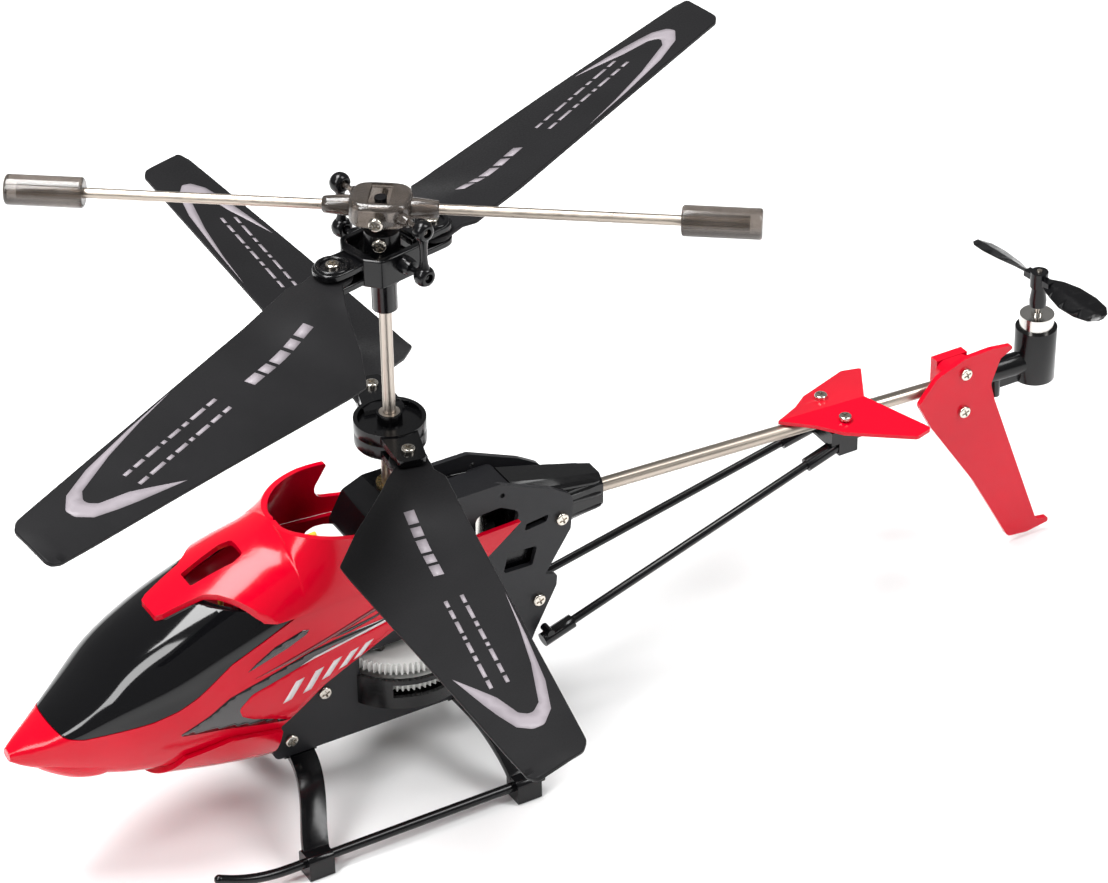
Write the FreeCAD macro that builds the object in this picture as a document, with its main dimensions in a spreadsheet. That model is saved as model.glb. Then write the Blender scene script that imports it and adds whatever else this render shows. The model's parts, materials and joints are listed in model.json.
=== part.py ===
import FreeCAD, Part
import math
import os
import re

from FreeCAD import Placement, Rotation, Vector

# A small coaxial remote control helicopter with a flybar, two contra-rotating rotors and a tail propeller.
# +X is the nose, +Y is port and +Z is up. The main shaft is the Z axis, and the skids rest on Z = 0.

doc = FreeCAD.newDocument("helicopter")
sheet = doc.addObject("Spreadsheet::Sheet", "Dims")

DIMENSIONS = {
    # side plates and frame
    "plate_face": 5.75, "plate_thickness": 1.0, "plate_hole_radius": 0.7, "spacer_radius": 1.8,
    "screw_radius": 0.55, "screw_head_radius": 1.15, "screw_head_height": 0.7, "pilot_radius": 0.6,
    "bearing_block_width": 9.4, "lower_block_base": 12.2, "lower_block_height": 2.6,
    "motor_plate_base": 27.9, "motor_plate_height": 1.2,
    # coaxial shafts
    "inner_shaft_radius": 1.05, "outer_shaft_bore": 1.12, "outer_shaft_radius": 1.75,
    "inner_shaft_base": 12.6, "inner_shaft_top": 96.0, "outer_shaft_base": 23.2, "outer_shaft_top": 68.9,
    "running_clearance": 0.05, "bush_radius": 2.7,
    # gears
    "gear_module": 0.3, "gear_teeth": 72, "pinion_teeth": 9, "gear_thickness": 1.9, "centre_backlash": 0.1,
    "lower_gear_height": 21.2, "upper_gear_height": 24.6, "guard_radius": 12.4, "guard_wall": 0.8,
    # motors
    "motor_radius": 4.3, "motor_length": 17.2, "motor_cap_height": 1.8, "motor_shaft_radius": 0.5,
    # rotors
    "lower_blade_height": 65.72, "upper_blade_height": 98.63, "pivot_radius": 10.2, "blade_tab": 1.2,
    "lower_hub_angle": 78.91, "upper_hub_angle": 11.75, "lower_disc_radius": 6.0,
    "lower_blade_1_angle": 77.47, "lower_blade_2_angle": 269.12,
    "upper_blade_1_angle": 31.59, "upper_blade_2_angle": 207.29,
    "head_collar_radius": 2.1, "head_collar_base": 88.8, "head_core_radius": 2.9, "head_post_radius": 1.0,
    # flybar and its links
    "yoke_pivot_height": 99.2, "flybar_pivot_height": 107.4, "teeter_pin_radius": 0.5, "ball_radius": 0.9,
    "ball_reach": 10.2, "link_eye_radius": 1.7, "flybar_angle": -36.26, "flybar_rod_radius": 0.85,
    "flybar_half_length": 60.1, "flybar_weight_radius": 2.5, "flybar_weight_length": 12.7,
    # tail
    "boom_radius": 1.25, "boom_bore": 0.85, "boom_front": -26.0, "boom_length": 95.6, "boom_height": 41.07,
    "boom_drop": 2.71, "tail_axis": -129.6, "tail_housing_radius": 3.76, "tail_housing_base": 32.6,
    "tail_housing_top": 43.0, "tail_motor_radius": 3.1, "tail_motor_top": 45.6, "tail_shaft_radius": 0.45,
    "tail_prop_height": 52.8, "tail_prop_angle": 97.0,
    # landing gear
    "skid_track": 44.0, "skid_radius": 0.85, "skid_height": 2.5, "clamp_length": 4.6, "clamp_width": 4.0,
    "clamp_height": 4.3, "front_clamp": 27.8, "rear_clamp": -11.4, "strut_width": 4.6, "strut_thickness": 1.3,
    # shell
    "shell_wall": 0.9, "cowl_gap": 0.05, "cowl_wall": 0.9,
    # electrics
    "battery_length": 24.0, "battery_width": 9.0, "battery_height": 9.0,
}
for row, (alias, value) in enumerate(DIMENSIONS.items(), start=1):
    sheet.set(f"A{row}", alias)
    sheet.set(f"B{row}", str(value))
    sheet.setAlias(f"B{row}", alias)
doc.recompute()

X = Vector(1, 0, 0)
Y = Vector(0, 1, 0)
Z = Vector(0, 0, 1)
ORIGIN = Vector(0, 0, 0)
nodes = {}


def dim(alias):
    """The value of one cell of the sheet, in millimetres or degrees."""
    return float(getattr(sheet, alias))


def expression(text):
    """The text with each alias in it written as a reference to the sheet."""
    return re.sub(r"[a-z][a-z_0-9]*[a-z0-9]", lambda m: f"Dims.{m[0]}" if m[0] in DIMENSIONS else m[0], text)


def bind(thing, **cells):
    """Bind properties of one object to cells. A double underscore stands for the dot in a property's path."""
    for path, text in cells.items():
        thing.setExpression(path.replace("__", "."), expression(text))
    return thing


def node(name, thing):
    thing.Label = name
    nodes[name] = thing
    return thing


def polar(radius, degrees, height=0.0):
    angle = math.radians(degrees)
    return Vector(radius * math.cos(angle), radius * math.sin(angle), height)


def heading(degrees):
    return Rotation(Z, degrees)


# ---- primitives and booleans ----

def cylinder(label, radius, height, place=None, along=Z, **position):
    thing = doc.addObject("Part::Cylinder", label)
    bind(thing, Radius=radius, Height=height)
    thing.Placement = Placement(place or ORIGIN, Rotation(Z, along))
    return bind(thing, **{f"Placement__Base__{axis}": text for axis, text in position.items()})


def box(label, length, width, height, **position):
    thing = doc.addObject("Part::Box", label)
    bind(thing, Length=length, Width=width, Height=height)
    return bind(thing, **{f"Placement__Base__{axis}": text for axis, text in position.items()})


def feature(label, shape):
    thing = doc.addObject("Part::Feature", label)
    thing.Shape = shape
    return thing


def fuse(label, things):
    thing = doc.addObject("Part::MultiFuse", label)
    thing.Shapes = things
    thing.Refine = True
    return thing


def cut(label, base, tools):
    tool = tools[0] if len(tools) == 1 else fuse(label + "_tools", tools)
    thing = doc.addObject("Part::Cut", label)
    thing.Base = base
    thing.Tool = tool
    thing.Refine = True
    return thing


def group(label, things):
    """Separate solids that share one node."""
    thing = doc.addObject("Part::Compound", label)
    thing.Links = things
    return thing


# ---- outlines ----

def rounded(corners):
    """Edges of a closed outline. A corner is (x, y), or (x, y, radius) to round it with an arc."""
    points = [Vector(c[0], c[1], 0) for c in corners]
    radii = [c[2] if len(c) > 2 else 0.0 for c in corners]
    starts, ends, arcs = [], [], []
    for i, corner in enumerate(points):
        before = (points[i - 1] - corner).normalize()
        after = (points[(i + 1) % len(points)] - corner).normalize()
        half = before.getAngle(after) / 2
        reach = radii[i] / math.tan(half) if radii[i] else 0.0
        ends.append(corner + before * reach)
        starts.append(corner + after * reach)
        if radii[i]:
            inward = (before + after).normalize()
            middle = corner + inward * (radii[i] / math.sin(half) - radii[i])
            arcs.append(Part.Arc(ends[i], middle, starts[i]))
        else:
            arcs.append(None)
    edges = []
    for i in range(len(points)):
        if arcs[i]:
            edges.append(arcs[i])
        following = ends[(i + 1) % len(points)]
        if (following - starts[i]).Length > 1e-6:
            edges.append(Part.LineSegment(starts[i], following))
    return edges


def circle(x, y, radius):
    return [Part.Circle(Vector(x, y, 0), Z, radius)]


def origin_plane(body, role):
    return next(item for item in body.Origin.OriginFeatures if item.Role == role)


def pad(name, role, loops, length, offset="0", middle=False):
    """A PartDesign body: loops drawn on one origin plane and padded along that plane's normal."""
    body = doc.addObject("PartDesign::Body", name)
    sketch = body.newObject("Sketcher::SketchObject", name + "_sketch")
    sketch.AttachmentSupport = (origin_plane(body, role), [""])
    sketch.MapMode = "FlatFace"
    bind(sketch, AttachmentOffset__Base__z=offset)
    for loop in loops:
        sketch.addGeometry(loop, False)
    padding = body.newObject("PartDesign::Pad", name + "_pad")
    padding.Profile = sketch
    bind(padding, Length=length)
    if middle:
        padding.Midplane = True
    body.Tip = padding
    doc.recompute()
    return body


def wire(edges):
    return Part.Wire([edge.toShape() for edge in edges])


def slab(corners, low, high, plane="XZ"):
    """A plain solid between two levels across a plane: an outline in XZ runs along Y, one in XY along Z."""
    face = Part.Face(wire(rounded(corners)))
    if plane == "XZ":
        face.rotate(ORIGIN, X, 90)
        face.translate(Y * low)
        return face.extrude(Y * (high - low))
    face.translate(Z * low)
    return face.extrude(Z * (high - low))


# ---- side plates, spacers and screws ----

PLATE_OUTLINE = [
    (27.0, 11.5, 1.5), (27.0, 17.5, 1.5), (21.0, 27.0), (12.0, 41.0, 3), (7.0, 49.5, 2), (3.0, 51.8),
    (-16.8, 51.8, 2), (-26.5, 47.6), (-31.0, 44.8, 2.5), (-30.3, 38.2), (-25.3, 30.6), (-27.6, 29.8, 0.8),
    (-27.4, 27.6), (-23.2, 19.6), (-19.5, 11.5, 1.5),
]
PLATE_WINDOWS = [
    [(-12.2, 37.6, 1.5), (-12.2, 46.9, 1.5), (-17.0, 47.2, 1.8), (-20.6, 45.2, 1.5), (-19.6, 41.8, 1.2)],
    [(-21.4, 40.8, 0.3), (-21.8, 42.1, 0.3), (-26.2, 42.6, 0.3), (-25.6, 41.3, 0.3)],
    [(-17.2, 33.6, 0.5), (-18.2, 37.4, 0.5), (-23.8, 37.0, 0.5), (-22.8, 33.4, 0.5)],
    [(-10.4, 17.6, 0.6), (10.4, 17.6, 0.6), (10.4, 27.4, 0.6), (-10.4, 27.4, 0.6)],
]
FRAME_SCREWS = [(23.7, 14.8), (17.1, 22.2), (-28.5, 40.9), (-23.8, 25.9)]
TOWER_HOLE = (-17.4, 49.4)

plate_loops = [rounded(PLATE_OUTLINE)] + [rounded(window) for window in PLATE_WINDOWS]
plate_loops += [circle(x, z, dim("plate_hole_radius")) for x, z in FRAME_SCREWS]
plate_loops.append(circle(*TOWER_HOLE, 0.45))
node("left_side_frame", pad("left_plate", "XZ_Plane", plate_loops, "plate_thickness", "-plate_face"))
node("right_side_frame", pad("right_plate", "XZ_Plane", plate_loops, "plate_thickness",
                             "plate_face - plate_thickness"))


def spacer(index, x, z):
    """A tube between the plates with a pilot hole right through it."""
    place = Vector(x, 0, z)
    length = "2 * (plate_face - plate_thickness)"
    inner_face = "plate_thickness - plate_face"
    tube = cylinder(f"spacer_{index}_tube", "spacer_radius", length, place, Y, y=inner_face)
    hole = cylinder(f"spacer_{index}_hole", "pilot_radius", length, place, Y, y=inner_face)
    return cut(f"spacer_{index}", tube, [hole])


node("frame_spacers", group("spacers", [spacer(i, x, z) for i, (x, z) in enumerate(FRAME_SCREWS) if i != 2]))


def cross_slots(centre, axis, radius):
    """Two crossed bars for the recess of a screw head whose outer face is centred at a point."""
    bars = []
    for turn in (0, 90):
        bar = Part.makeBox(radius * 1.3, radius * 0.3, 0.5, Vector(-radius * 0.65, -radius * 0.15, -0.4))
        bar.rotate(ORIGIN, Z, turn + 20)
        bar.Placement = Placement(centre, Rotation(Z, axis)).multiply(bar.Placement)
        bars.append(bar)
    return bars[0].fuse(bars[1])


def screw(label, seat, axis, length):
    """A domed cross-head screw. Its head stands on the seat, and its shank runs the other way."""
    head_radius = dim("screw_head_radius")
    head_height = dim("screw_head_height")
    head = Part.makeCylinder(head_radius, head_height, seat, axis)
    rim = [edge for edge in head.Edges if (edge.CenterOfMass - seat).dot(axis) > head_height * 0.9]
    head = head.makeFillet(head_height * 0.45, [edge for edge in rim if isinstance(edge.Curve, Part.Circle)])
    shank = Part.makeCylinder(dim("screw_radius"), length, seat, axis * -1)
    whole = head.fuse(shank).removeSplitter()
    return feature(label, whole.cut(cross_slots(seat + axis * head_height, axis, head_radius)))


frame_screws = []
for side, name in ((1, "left"), (-1, "right")):
    for i, (x, z) in enumerate(FRAME_SCREWS):
        seat = Vector(x, side * dim("plate_face"), z)
        frame_screws.append(screw(f"frame_screw_{name}_{i}", seat, Y * side, 4.0))

# ---- bearings and motor plate between the side plates ----

TOWER_PROFILE = [(9.6, 46.4), (9.6, 48.4), (7.0, 53.2, 1.0), (3.2, 54.8, 0.8), (-3.2, 54.8, 0.8),
                 (-6.5, 51.4), (-9.0, 48.0), (-9.0, 46.4)]
tower = pad("tower", "XZ_Plane", [rounded(TOWER_PROFILE)], "bearing_block_width", middle=True)
tower_bore = cylinder("tower_bore", "bush_radius", "12", Vector(0, 0, 45))
upper_bearing_block = cut("tower_bored", tower, [tower_bore])


def bush(label, bore, base, height):
    ring = cylinder(label + "_ring", "bush_radius", height, z=base)
    hole = cylinder(label + "_hole", bore, height, z=base)
    return cut(label, ring, [hole])


lower_block = box("lower_block_blank", "13", "2 * (plate_face - plate_thickness)", "lower_block_height",
                  x="-6.5", y="plate_thickness - plate_face", z="lower_block_base")
lower_bore = cylinder("lower_block_bore", "bush_radius", "lower_block_height", z="lower_block_base")
lower_bearing_block = cut("lower_block", lower_block, [lower_bore])
node("bearing_blocks", group("bearing_block_pair", [upper_bearing_block, lower_bearing_block]))

plate_blank = box("motor_plate_blank", "36", "2 * (plate_face - plate_thickness)", "motor_plate_height",
                  x="-18", y="plate_thickness - plate_face", z="motor_plate_base")
plate_bore = cylinder("motor_plate_bore", "bush_radius", "motor_plate_height", z="motor_plate_base")
MOTOR_OFFSET = "(gear_teeth + pinion_teeth) / 2 * gear_module + centre_backlash"
motor_reach = (dim("gear_teeth") + dim("pinion_teeth")) / 2 * dim("gear_module") + dim("centre_backlash")
shaft_holes = [
    cylinder("front_shaft_hole", "1.3", "motor_plate_height", z="motor_plate_base", x=MOTOR_OFFSET),
    cylinder("rear_shaft_hole", "1.3", "motor_plate_height", z="motor_plate_base", x=f"-({MOTOR_OFFSET})"),
]
node("motor_plate", cut("motor_plate_cut", plate_blank, [plate_bore] + shaft_holes))

shaft_bushes = [
    bush("bottom_bush", "inner_shaft_radius + running_clearance", "lower_block_base", "lower_block_height"),
    bush("middle_bush", "outer_shaft_radius + running_clearance", "motor_plate_base", "motor_plate_height"),
    bush("top_bush", "outer_shaft_radius + running_clearance", "47", "8.2"),
]
node("shaft_bushes", group("bush_group", shaft_bushes))

# ---- gears ----

ROOT_FACTOR = 1.25
FLANK_STEPS = 3


def gear_outline(teeth, module, turn):
    """A spur gear's outline with involute flanks for a 20 degree rack, thinned for backlash."""
    pitch = teeth * module / 2
    tip = pitch + module
    root = pitch - ROOT_FACTOR * module
    base = pitch * math.cos(math.radians(20))
    spread = math.tan(math.radians(20)) - math.radians(20)
    half_tooth = math.pi / teeth / 2 * 0.82
    flank = []
    for step in range(FLANK_STEPS + 1):
        radius = max(base, root) + (tip - max(base, root)) * step / FLANK_STEPS
        pressure = math.acos(min(1.0, base / radius))
        flank.append((radius, half_tooth + spread - (math.tan(pressure) - pressure)))
    if root < base:
        flank.insert(0, (root, flank[0][1]))
    points = []
    for tooth in range(teeth):
        centre = math.radians(turn) + 2 * math.pi * tooth / teeth
        sides = [(radius, centre - angle) for radius, angle in flank]
        sides += [(radius, centre + angle) for radius, angle in reversed(flank)]
        points += [Vector(r * math.cos(a), r * math.sin(a), 0) for r, a in sides]
    return Part.makePolygon(points + [points[0]])


def gear_blank(teeth, turn, height, thickness):
    face = Part.Face(gear_outline(teeth, dim("gear_module"), turn))
    face.translate(Z * (height - thickness / 2))
    return face.extrude(Z * thickness)


def drive_gear(label, height, bore, hub_low, hub_high):
    """A large gear with a thin web, a ring of round holes in it and a hub on one side."""
    thickness = dim("gear_thickness")
    blank = gear_blank(int(dim("gear_teeth")), 0, height, thickness)
    recess_height = thickness / 2 - 0.5
    for level in (height + 0.5, height - thickness / 2):
        ring = Part.makeCylinder(9.0, recess_height, Vector(0, 0, level))
        blank = blank.cut(ring.cut(Part.makeCylinder(3.4, recess_height, Vector(0, 0, level))))
    for turn in range(0, 360, 60):
        blank = blank.cut(Part.makeCylinder(1.0, 4, polar(6.2, turn + 30, height - 2)))
    blank = blank.fuse(Part.makeCylinder(3.0, hub_high - hub_low, Vector(0, 0, hub_low)))
    return feature(label, blank.cut(Part.makeCylinder(bore, 12, Vector(0, 0, height - 6))).removeSplitter())


lower_gear_height = dim("lower_gear_height")
upper_gear_height = dim("upper_gear_height")
node("lower_drive_gear", drive_gear("lower_gear", lower_gear_height, dim("inner_shaft_radius"),
                                    lower_gear_height - 3.4, lower_gear_height))
node("upper_drive_gear", drive_gear("upper_gear", upper_gear_height, dim("outer_shaft_radius"),
                                    upper_gear_height, upper_gear_height + 2.6))


def pinion(label, side, height, turn):
    body = gear_blank(int(dim("pinion_teeth")), turn, height, 2.4)
    body = body.cut(Part.makeCylinder(dim("motor_shaft_radius"), 6, Vector(0, 0, height - 3)))
    thing = feature(label, body)
    thing.Placement = Placement(X * side * motor_reach, Rotation())
    return thing


node("front_pinion", pinion("front_pinion_gear", 1, upper_gear_height, 0))
node("rear_pinion", pinion("rear_pinion_gear", -1, lower_gear_height, 20))

MOTOR_BASE = "motor_plate_base + motor_plate_height"
cans = []
for side, name, low in ((1, "front", upper_gear_height - 1.2), (-1, "rear", lower_gear_height - 1.2)):
    offset = MOTOR_OFFSET if side > 0 else f"-({MOTOR_OFFSET})"
    node(f"{name}_motor_shaft", cylinder(f"{name}_shaft", "motor_shaft_radius", f"40 - {low}", x=offset,
                                         z=str(low)))
    can = cylinder(f"{name}_can", "motor_radius", "motor_length", x=offset, z=MOTOR_BASE)
    bore = cylinder(f"{name}_can_bore", "motor_shaft_radius + 0.06", f"40.5 - ({MOTOR_BASE})", x=offset,
                    z=MOTOR_BASE)
    cans.append(cut(f"{name}_can_bored", can, [bore]))
node("main_motors", group("motor_pair", cans))

caps = []
for side, name in ((1, "front"), (-1, "rear")):
    offset = MOTOR_OFFSET if side > 0 else f"-({MOTOR_OFFSET})"
    caps.append(cylinder(f"{name}_cap", "motor_radius - 0.2", "motor_cap_height", x=offset,
                         z=f"{MOTOR_BASE} + motor_length"))
CAP_TRIM = [(-9.2, 46.2), (-9.2, 60.0), (9.7, 60.0), (9.7, 46.2)]
cap_trim = feature("cap_trim", slab(CAP_TRIM, -5, 5))
node("motor_end_caps", cut("cap_pair", fuse("caps_whole", caps), [cap_trim]))

# ---- curved gear guards on both sides ----

guard_outer = dim("guard_radius")
guard_inner = guard_outer - dim("guard_wall")
GUARD_LOW = 18.4
GUARD_HIGH = 23.3
guard_ring = Part.makeCylinder(guard_outer, GUARD_HIGH - GUARD_LOW, Vector(0, 0, GUARD_LOW))
guard_ring = guard_ring.cut(Part.makeCylinder(guard_inner, 20, Vector(0, 0, 10)))
guard_floor = Part.makeCylinder(guard_outer, 0.8, Vector(0, 0, GUARD_LOW - 0.8))
guard_ring = guard_ring.fuse(guard_floor)
guard_slot = Part.makeBox(13.4, 40, 2.5, Vector(-6.7, -20, 19.9))
plate_face = dim("plate_face")
guard_gap = Part.makeBox(40, 2 * plate_face, 40, Vector(-20, -plate_face, 0))
node("gear_guards", feature("guards", guard_ring.cut(guard_slot).cut(guard_gap)))

# ---- skin: nose shell, canopy, cowl and belly pan ----

# Each station gives x, half width, lowest z, z of the widest line and highest z of the skin's outer face.
POD_STATIONS = [
    (71.3, 1.3, 25.9, 26.7, 27.9), (69.3, 2.7, 24.6, 27.0, 29.2), (65.6, 4.8, 22.8, 28.4, 31.0),
    (61.0, 7.2, 20.8, 29.9, 34.4), (53.5, 10.4, 18.6, 32.3, 40.9), (45.5, 12.2, 16.9, 35.0, 45.1),
    (37.0, 12.7, 14.6, 38.0, 48.7), (28.0, 12.7, 12.8, 41.0, 51.4), (20.0, 12.3, 12.6, 42.3, 52.5),
    (8.0, 11.0, 14.0, 43.0, 52.3), (-6.0, 9.2, 20.0, 43.5, 52.0), (-21.0, 7.4, 36.0, 44.0, 49.0),
]
SECTION_POINTS = 20
UPPER_FULLNESS = 0.9
LOWER_FULLNESS = 0.75


def pod_section(x, half, low, wide, high, grow):
    """One closed cross section of the skin, grown outwards by a distance."""
    points = []
    for i in range(SECTION_POINTS):
        angle = 2 * math.pi * i / SECTION_POINTS
        across = math.copysign(abs(math.cos(angle)) ** UPPER_FULLNESS, math.cos(angle))
        rise = math.sin(angle)
        if rise >= 0:
            z = wide + (high + grow - wide) * rise ** UPPER_FULLNESS
        else:
            z = wide - (wide - low + grow) * abs(rise) ** LOWER_FULLNESS
        points.append(Vector(x, (half + grow) * across, z))
    curve = Part.BSplineCurve()
    curve.interpolate(points, PeriodicFlag=True)
    return Part.Wire([curve.toShape()])


def pod(grow):
    """The skin's whole outer form. Shrinking it also pulls the nose in."""
    sections = []
    for x, half, low, wide, high in POD_STATIONS:
        if half + grow < 0.4:
            continue
        sections.append(pod_section(x + min(grow, 0) * 0.5, half, low, wide, high, grow))
    return Part.makeLoft(sections, True, False)


wall = dim("shell_wall")
outer_pod = pod(0.0)
skin = outer_pod.cut(pod(-wall))

NOSE_REGION = [
    (76.0, 36.0), (65.3, 36.0), (64.6, 31.8, 0.8), (63.2, 30.5, 1.5), (60.6, 30.4), (55.4, 31.5), (50.0, 32.4),
    (45.8, 33.6), (42.4, 35.3), (36.3, 39.6), (23.0, 44.9), (-11.0, 44.9), (-19.8, 44.4), (-13.0, 40.1),
    (6.3, 33.7), (12.4, 31.5), (16.3, 30.0), (20.0, 28.3), (23.3, 25.6), (27.4, 22.2), (27.4, 19.4),
    (45.0, 21.0), (50.0, 16.0), (76.0, 10.0),
]
CANOPY_REGION = [
    (65.2, 36.0), (65.2, 60.0), (41.5, 60.0), (41.5, 48.0), (25.2, 46.0), (25.2, 44.1), (36.3, 39.7),
    (42.4, 35.4), (45.8, 33.7), (50.0, 32.5), (55.4, 31.6), (60.6, 30.5), (63.2, 30.6, 1.5), (64.5, 31.9, 0.8),
]
BELLY_REGION = [(27.5, 8.0), (27.5, 19.3), (45.0, 20.9), (50.0, 15.9), (50.0, 8.0)]
far = 30.0
node("nose_shell", feature("nose", skin.common(slab(NOSE_REGION, -far, far))))
node("canopy", feature("canopy_skin", skin.common(slab(CANOPY_REGION, -far, far))))
node("belly_pan", feature("belly", skin.common(slab(BELLY_REGION, -far, far))))

cowl_inner = pod(dim("cowl_gap"))
cowl_outer = pod(dim("cowl_gap") + dim("cowl_wall"))
TONGUE_HALF_PLAN = [(44.9, 2.5, 0.5), (43.8, 3.2), (37.2, 4.8, 2), (35.4, 6.3, 1.5), (31.2, 11.0, 3),
                    (28.0, 14.5), (22.0, 14.5)]
TONGUE_PLAN = [(x, -y, *r) for x, y, *r in TONGUE_HALF_PLAN[::-1]] + TONGUE_HALF_PLAN
SLOT_PLAN = [(38.0, -1.9, 0.4), (38.0, 1.9, 0.4), (30.6, 2.8, 0.8), (28.6, 2.2, 0.8), (28.6, -2.2, 0.8),
             (30.6, -2.8, 0.8)]
tongue = cowl_outer.cut(cowl_inner).common(slab(TONGUE_PLAN, 44.8, 60, "XY"))
tongue = tongue.cut(slab(SLOT_PLAN, 44, 60, "XY"))
RING_CENTRE = 8.0


def oval(length, width, low, high):
    """An upright oval drum about the ring's centre."""
    ellipse = Part.Ellipse(Vector(RING_CENTRE, 0, low), length, width)
    return Part.Face(Part.Wire([ellipse.toShape()])).extrude(Z * (high - low))


RING_PROFILE = [(25.0, 55.6), (18.0, 55.4), (12.0, 55.1), (6.4, 54.6, 0.5), (10.3, 48.6, 1.0), (4.5, 47.7),
                (-8.0, 47.3), (-11.0, 45.0), (25.0, 45.0)]
RING_HALF_LENGTH = 15.2
RING_HALF_WIDTH = 12.2
RING_WALL = 0.9
ring_outer = oval(RING_HALF_LENGTH, RING_HALF_WIDTH, 44, 60)
ring_inner = oval(RING_HALF_LENGTH - RING_WALL, RING_HALF_WIDTH - RING_WALL, 43, 61)
ring_wall = ring_outer.cut(ring_inner).common(slab(RING_PROFILE, -far, far))
frame_room = Part.makeBox(9.0, 2 * dim("plate_face") + 0.6, 20, Vector(-13.0, -dim("plate_face") - 0.3, 40))
wire_opening = Part.makeBox(5.0, 6.2, 6.4, Vector(20.6, -1.5, 44.6))
ring_wall = ring_wall.cut([frame_room, wire_opening])
node("upper_cowl", feature("cowl", tongue.fuse(ring_wall).removeSplitter()))

# ---- boom holder, boom and braces ----

boom_slope = math.radians(dim("boom_drop"))
boom_direction = Vector(-math.cos(boom_slope), 0, -math.sin(boom_slope))
boom_start = Vector(dim("boom_front"), 0, dim("boom_height"))
boom_radius = dim("boom_radius")


def boom_point(x):
    """The point of the boom's axis at a given x."""
    return boom_start + boom_direction * ((x - boom_start.x) / boom_direction.x)


boom_outer = cylinder("boom_outer", "boom_radius", "boom_length", boom_start, boom_direction)
boom_inner = cylinder("boom_inner", "boom_bore", "boom_length", boom_start, boom_direction)
node("tail_boom", cut("boom_tube", boom_outer, [boom_inner]))


def facet_section(x, half, low, high):
    """An eight-sided upright section across the boom."""
    middle = (low + high) / 2
    tall = (high - low) / 2
    corners = [(half, 0.55), (0.55 * half, 1), (-0.55 * half, 1), (-half, 0.55), (-half, -0.55),
               (-0.55 * half, -1), (0.55 * half, -1), (half, -0.55)]
    points = [Vector(x, y, middle + tall * share) for y, share in corners]
    return Part.makePolygon(points + [points[0]])


holder = Part.makeLoft([facet_section(-20.5, 4.6, 36.6, 49.2), facet_section(-30.0, 4.3, 36.9, 46.6),
                        facet_section(-38.3, 3.0, 37.3, 44.4)], True, True)
flutes = []
for side in (1, -1):
    for z, tilt in ((44.2, 0.9), (38.6, -0.2)):
        taper = Vector(-1, -0.12 * side, -0.09 * tilt)
        flutes.append(Part.makeCylinder(0.7, 18, Vector(-27.5, side * 4.9, z), taper))
holder = holder.cut(flutes[0].fuse(flutes[1:]))
holder = holder.cut(Part.makeCylinder(boom_radius, 40, boom_start, boom_direction))
holder_screw = Vector(FRAME_SCREWS[2][0], -10, FRAME_SCREWS[2][1])
holder = holder.cut(Part.makeCylinder(dim("pilot_radius"), 20, holder_screw, Y))
node("boom_holder", feature("holder", holder))

BRACE_LOW = Vector(-23.6, 7.4, 18.4)
BRACE_HIGH = Vector(-86.6, 3.6, 35.4)
BRACE_RADIUS = 0.75
SLEEVE_RADIUS = 1.25


def mirrored(point, side):
    return Vector(point.x, point.y * side, point.z)


rods, sleeves = [], []
for side, name in ((1, "left"), (-1, "right")):
    low = mirrored(BRACE_LOW, side)
    high = mirrored(BRACE_HIGH, side)
    run = high - low
    along = Vector(run).normalize()
    rod = Part.makeCylinder(BRACE_RADIUS, run.Length - 5.0, low + along * 2.5, along)
    rods.append(feature(f"{name}_rod", rod))
    for end, start, length in (("low", low, 6.2), ("high", high - along * 8.4, 8.4)):
        sleeve = Part.makeCylinder(SLEEVE_RADIUS, length, start, along)
        sleeve = sleeve.cut(Part.makeCylinder(BRACE_RADIUS, run.Length - 5.0, low + along * 2.5, along))
        if end == "low":
            peg = Part.makeCylinder(0.7, 2.6, Vector(low.x - 1.2, side * plate_face, low.z + 1.4), Y * side)
            sleeve = sleeve.fuse(peg.cut(Part.makeCylinder(BRACE_RADIUS, 60, low + along * 2.5, along)))
        sleeves.append(feature(f"{name}_{end}_sleeve", sleeve.removeSplitter()))
node("brace_rods", group("brace_rod_pair", rods))
node("brace_sleeves", group("brace_sleeve_set", sleeves))

# ---- tail surfaces ----

SADDLE_X = -86.5
saddle_axis = boom_point(SADDLE_X)
saddle = Part.makeBox(7.0, 10.4, 2.6, Vector(SADDLE_X - 3.5, -5.2, saddle_axis.z - 2.1))
saddle = saddle.fuse(Part.makeBox(3.8, 10.4, 2.7, Vector(SADDLE_X - 1.9, -5.2, saddle_axis.z - 4.6)))
for side in (1, -1):
    pilot = Vector(SADDLE_X, side * 3.9, saddle_axis.z - 1.0)
    saddle = saddle.cut(Part.makeCylinder(dim("pilot_radius"), 2.5, pilot))
saddle = saddle.cut(Part.makeCylinder(boom_radius, 110, boom_start, boom_direction))
for side in (1, -1):
    low = mirrored(BRACE_LOW, side)
    run = mirrored(BRACE_HIGH, side) - low
    saddle = saddle.cut(Part.makeCylinder(SLEEVE_RADIUS, run.Length, low, run))
node("fin_saddle", feature("saddle", saddle.removeSplitter()))

FIN_SLOPE = 0.2
FIN_THICKNESS = 0.7
RIDGE_RISE = 2.1
FIN_HALF_PLAN = [(-75.2, 0.0), (-80.9, 3.4), (-84.6, 6.6), (-96.2, 12.2, 1.2), (-99.8, 11.2, 0.5),
                 (-93.0, 0.0)]


def fin_half(side):
    """One sloping half of the V-shaped horizontal fin, sheared down from the ridge."""
    corners = [(c[0], side * c[1]) + tuple(c[2:]) for c in FIN_HALF_PLAN]
    half = slab(corners, -0.5 * FIN_THICKNESS, 0.5 * FIN_THICKNESS, "XY")
    shear = FreeCAD.Matrix()
    shear.A32 = -FIN_SLOPE * side
    shear.A31 = math.tan(math.radians(dim("boom_drop")))
    moved = half.transformGeometry(shear)
    moved.translate(Z * (boom_point(0).z + RIDGE_RISE))
    return moved


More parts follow.
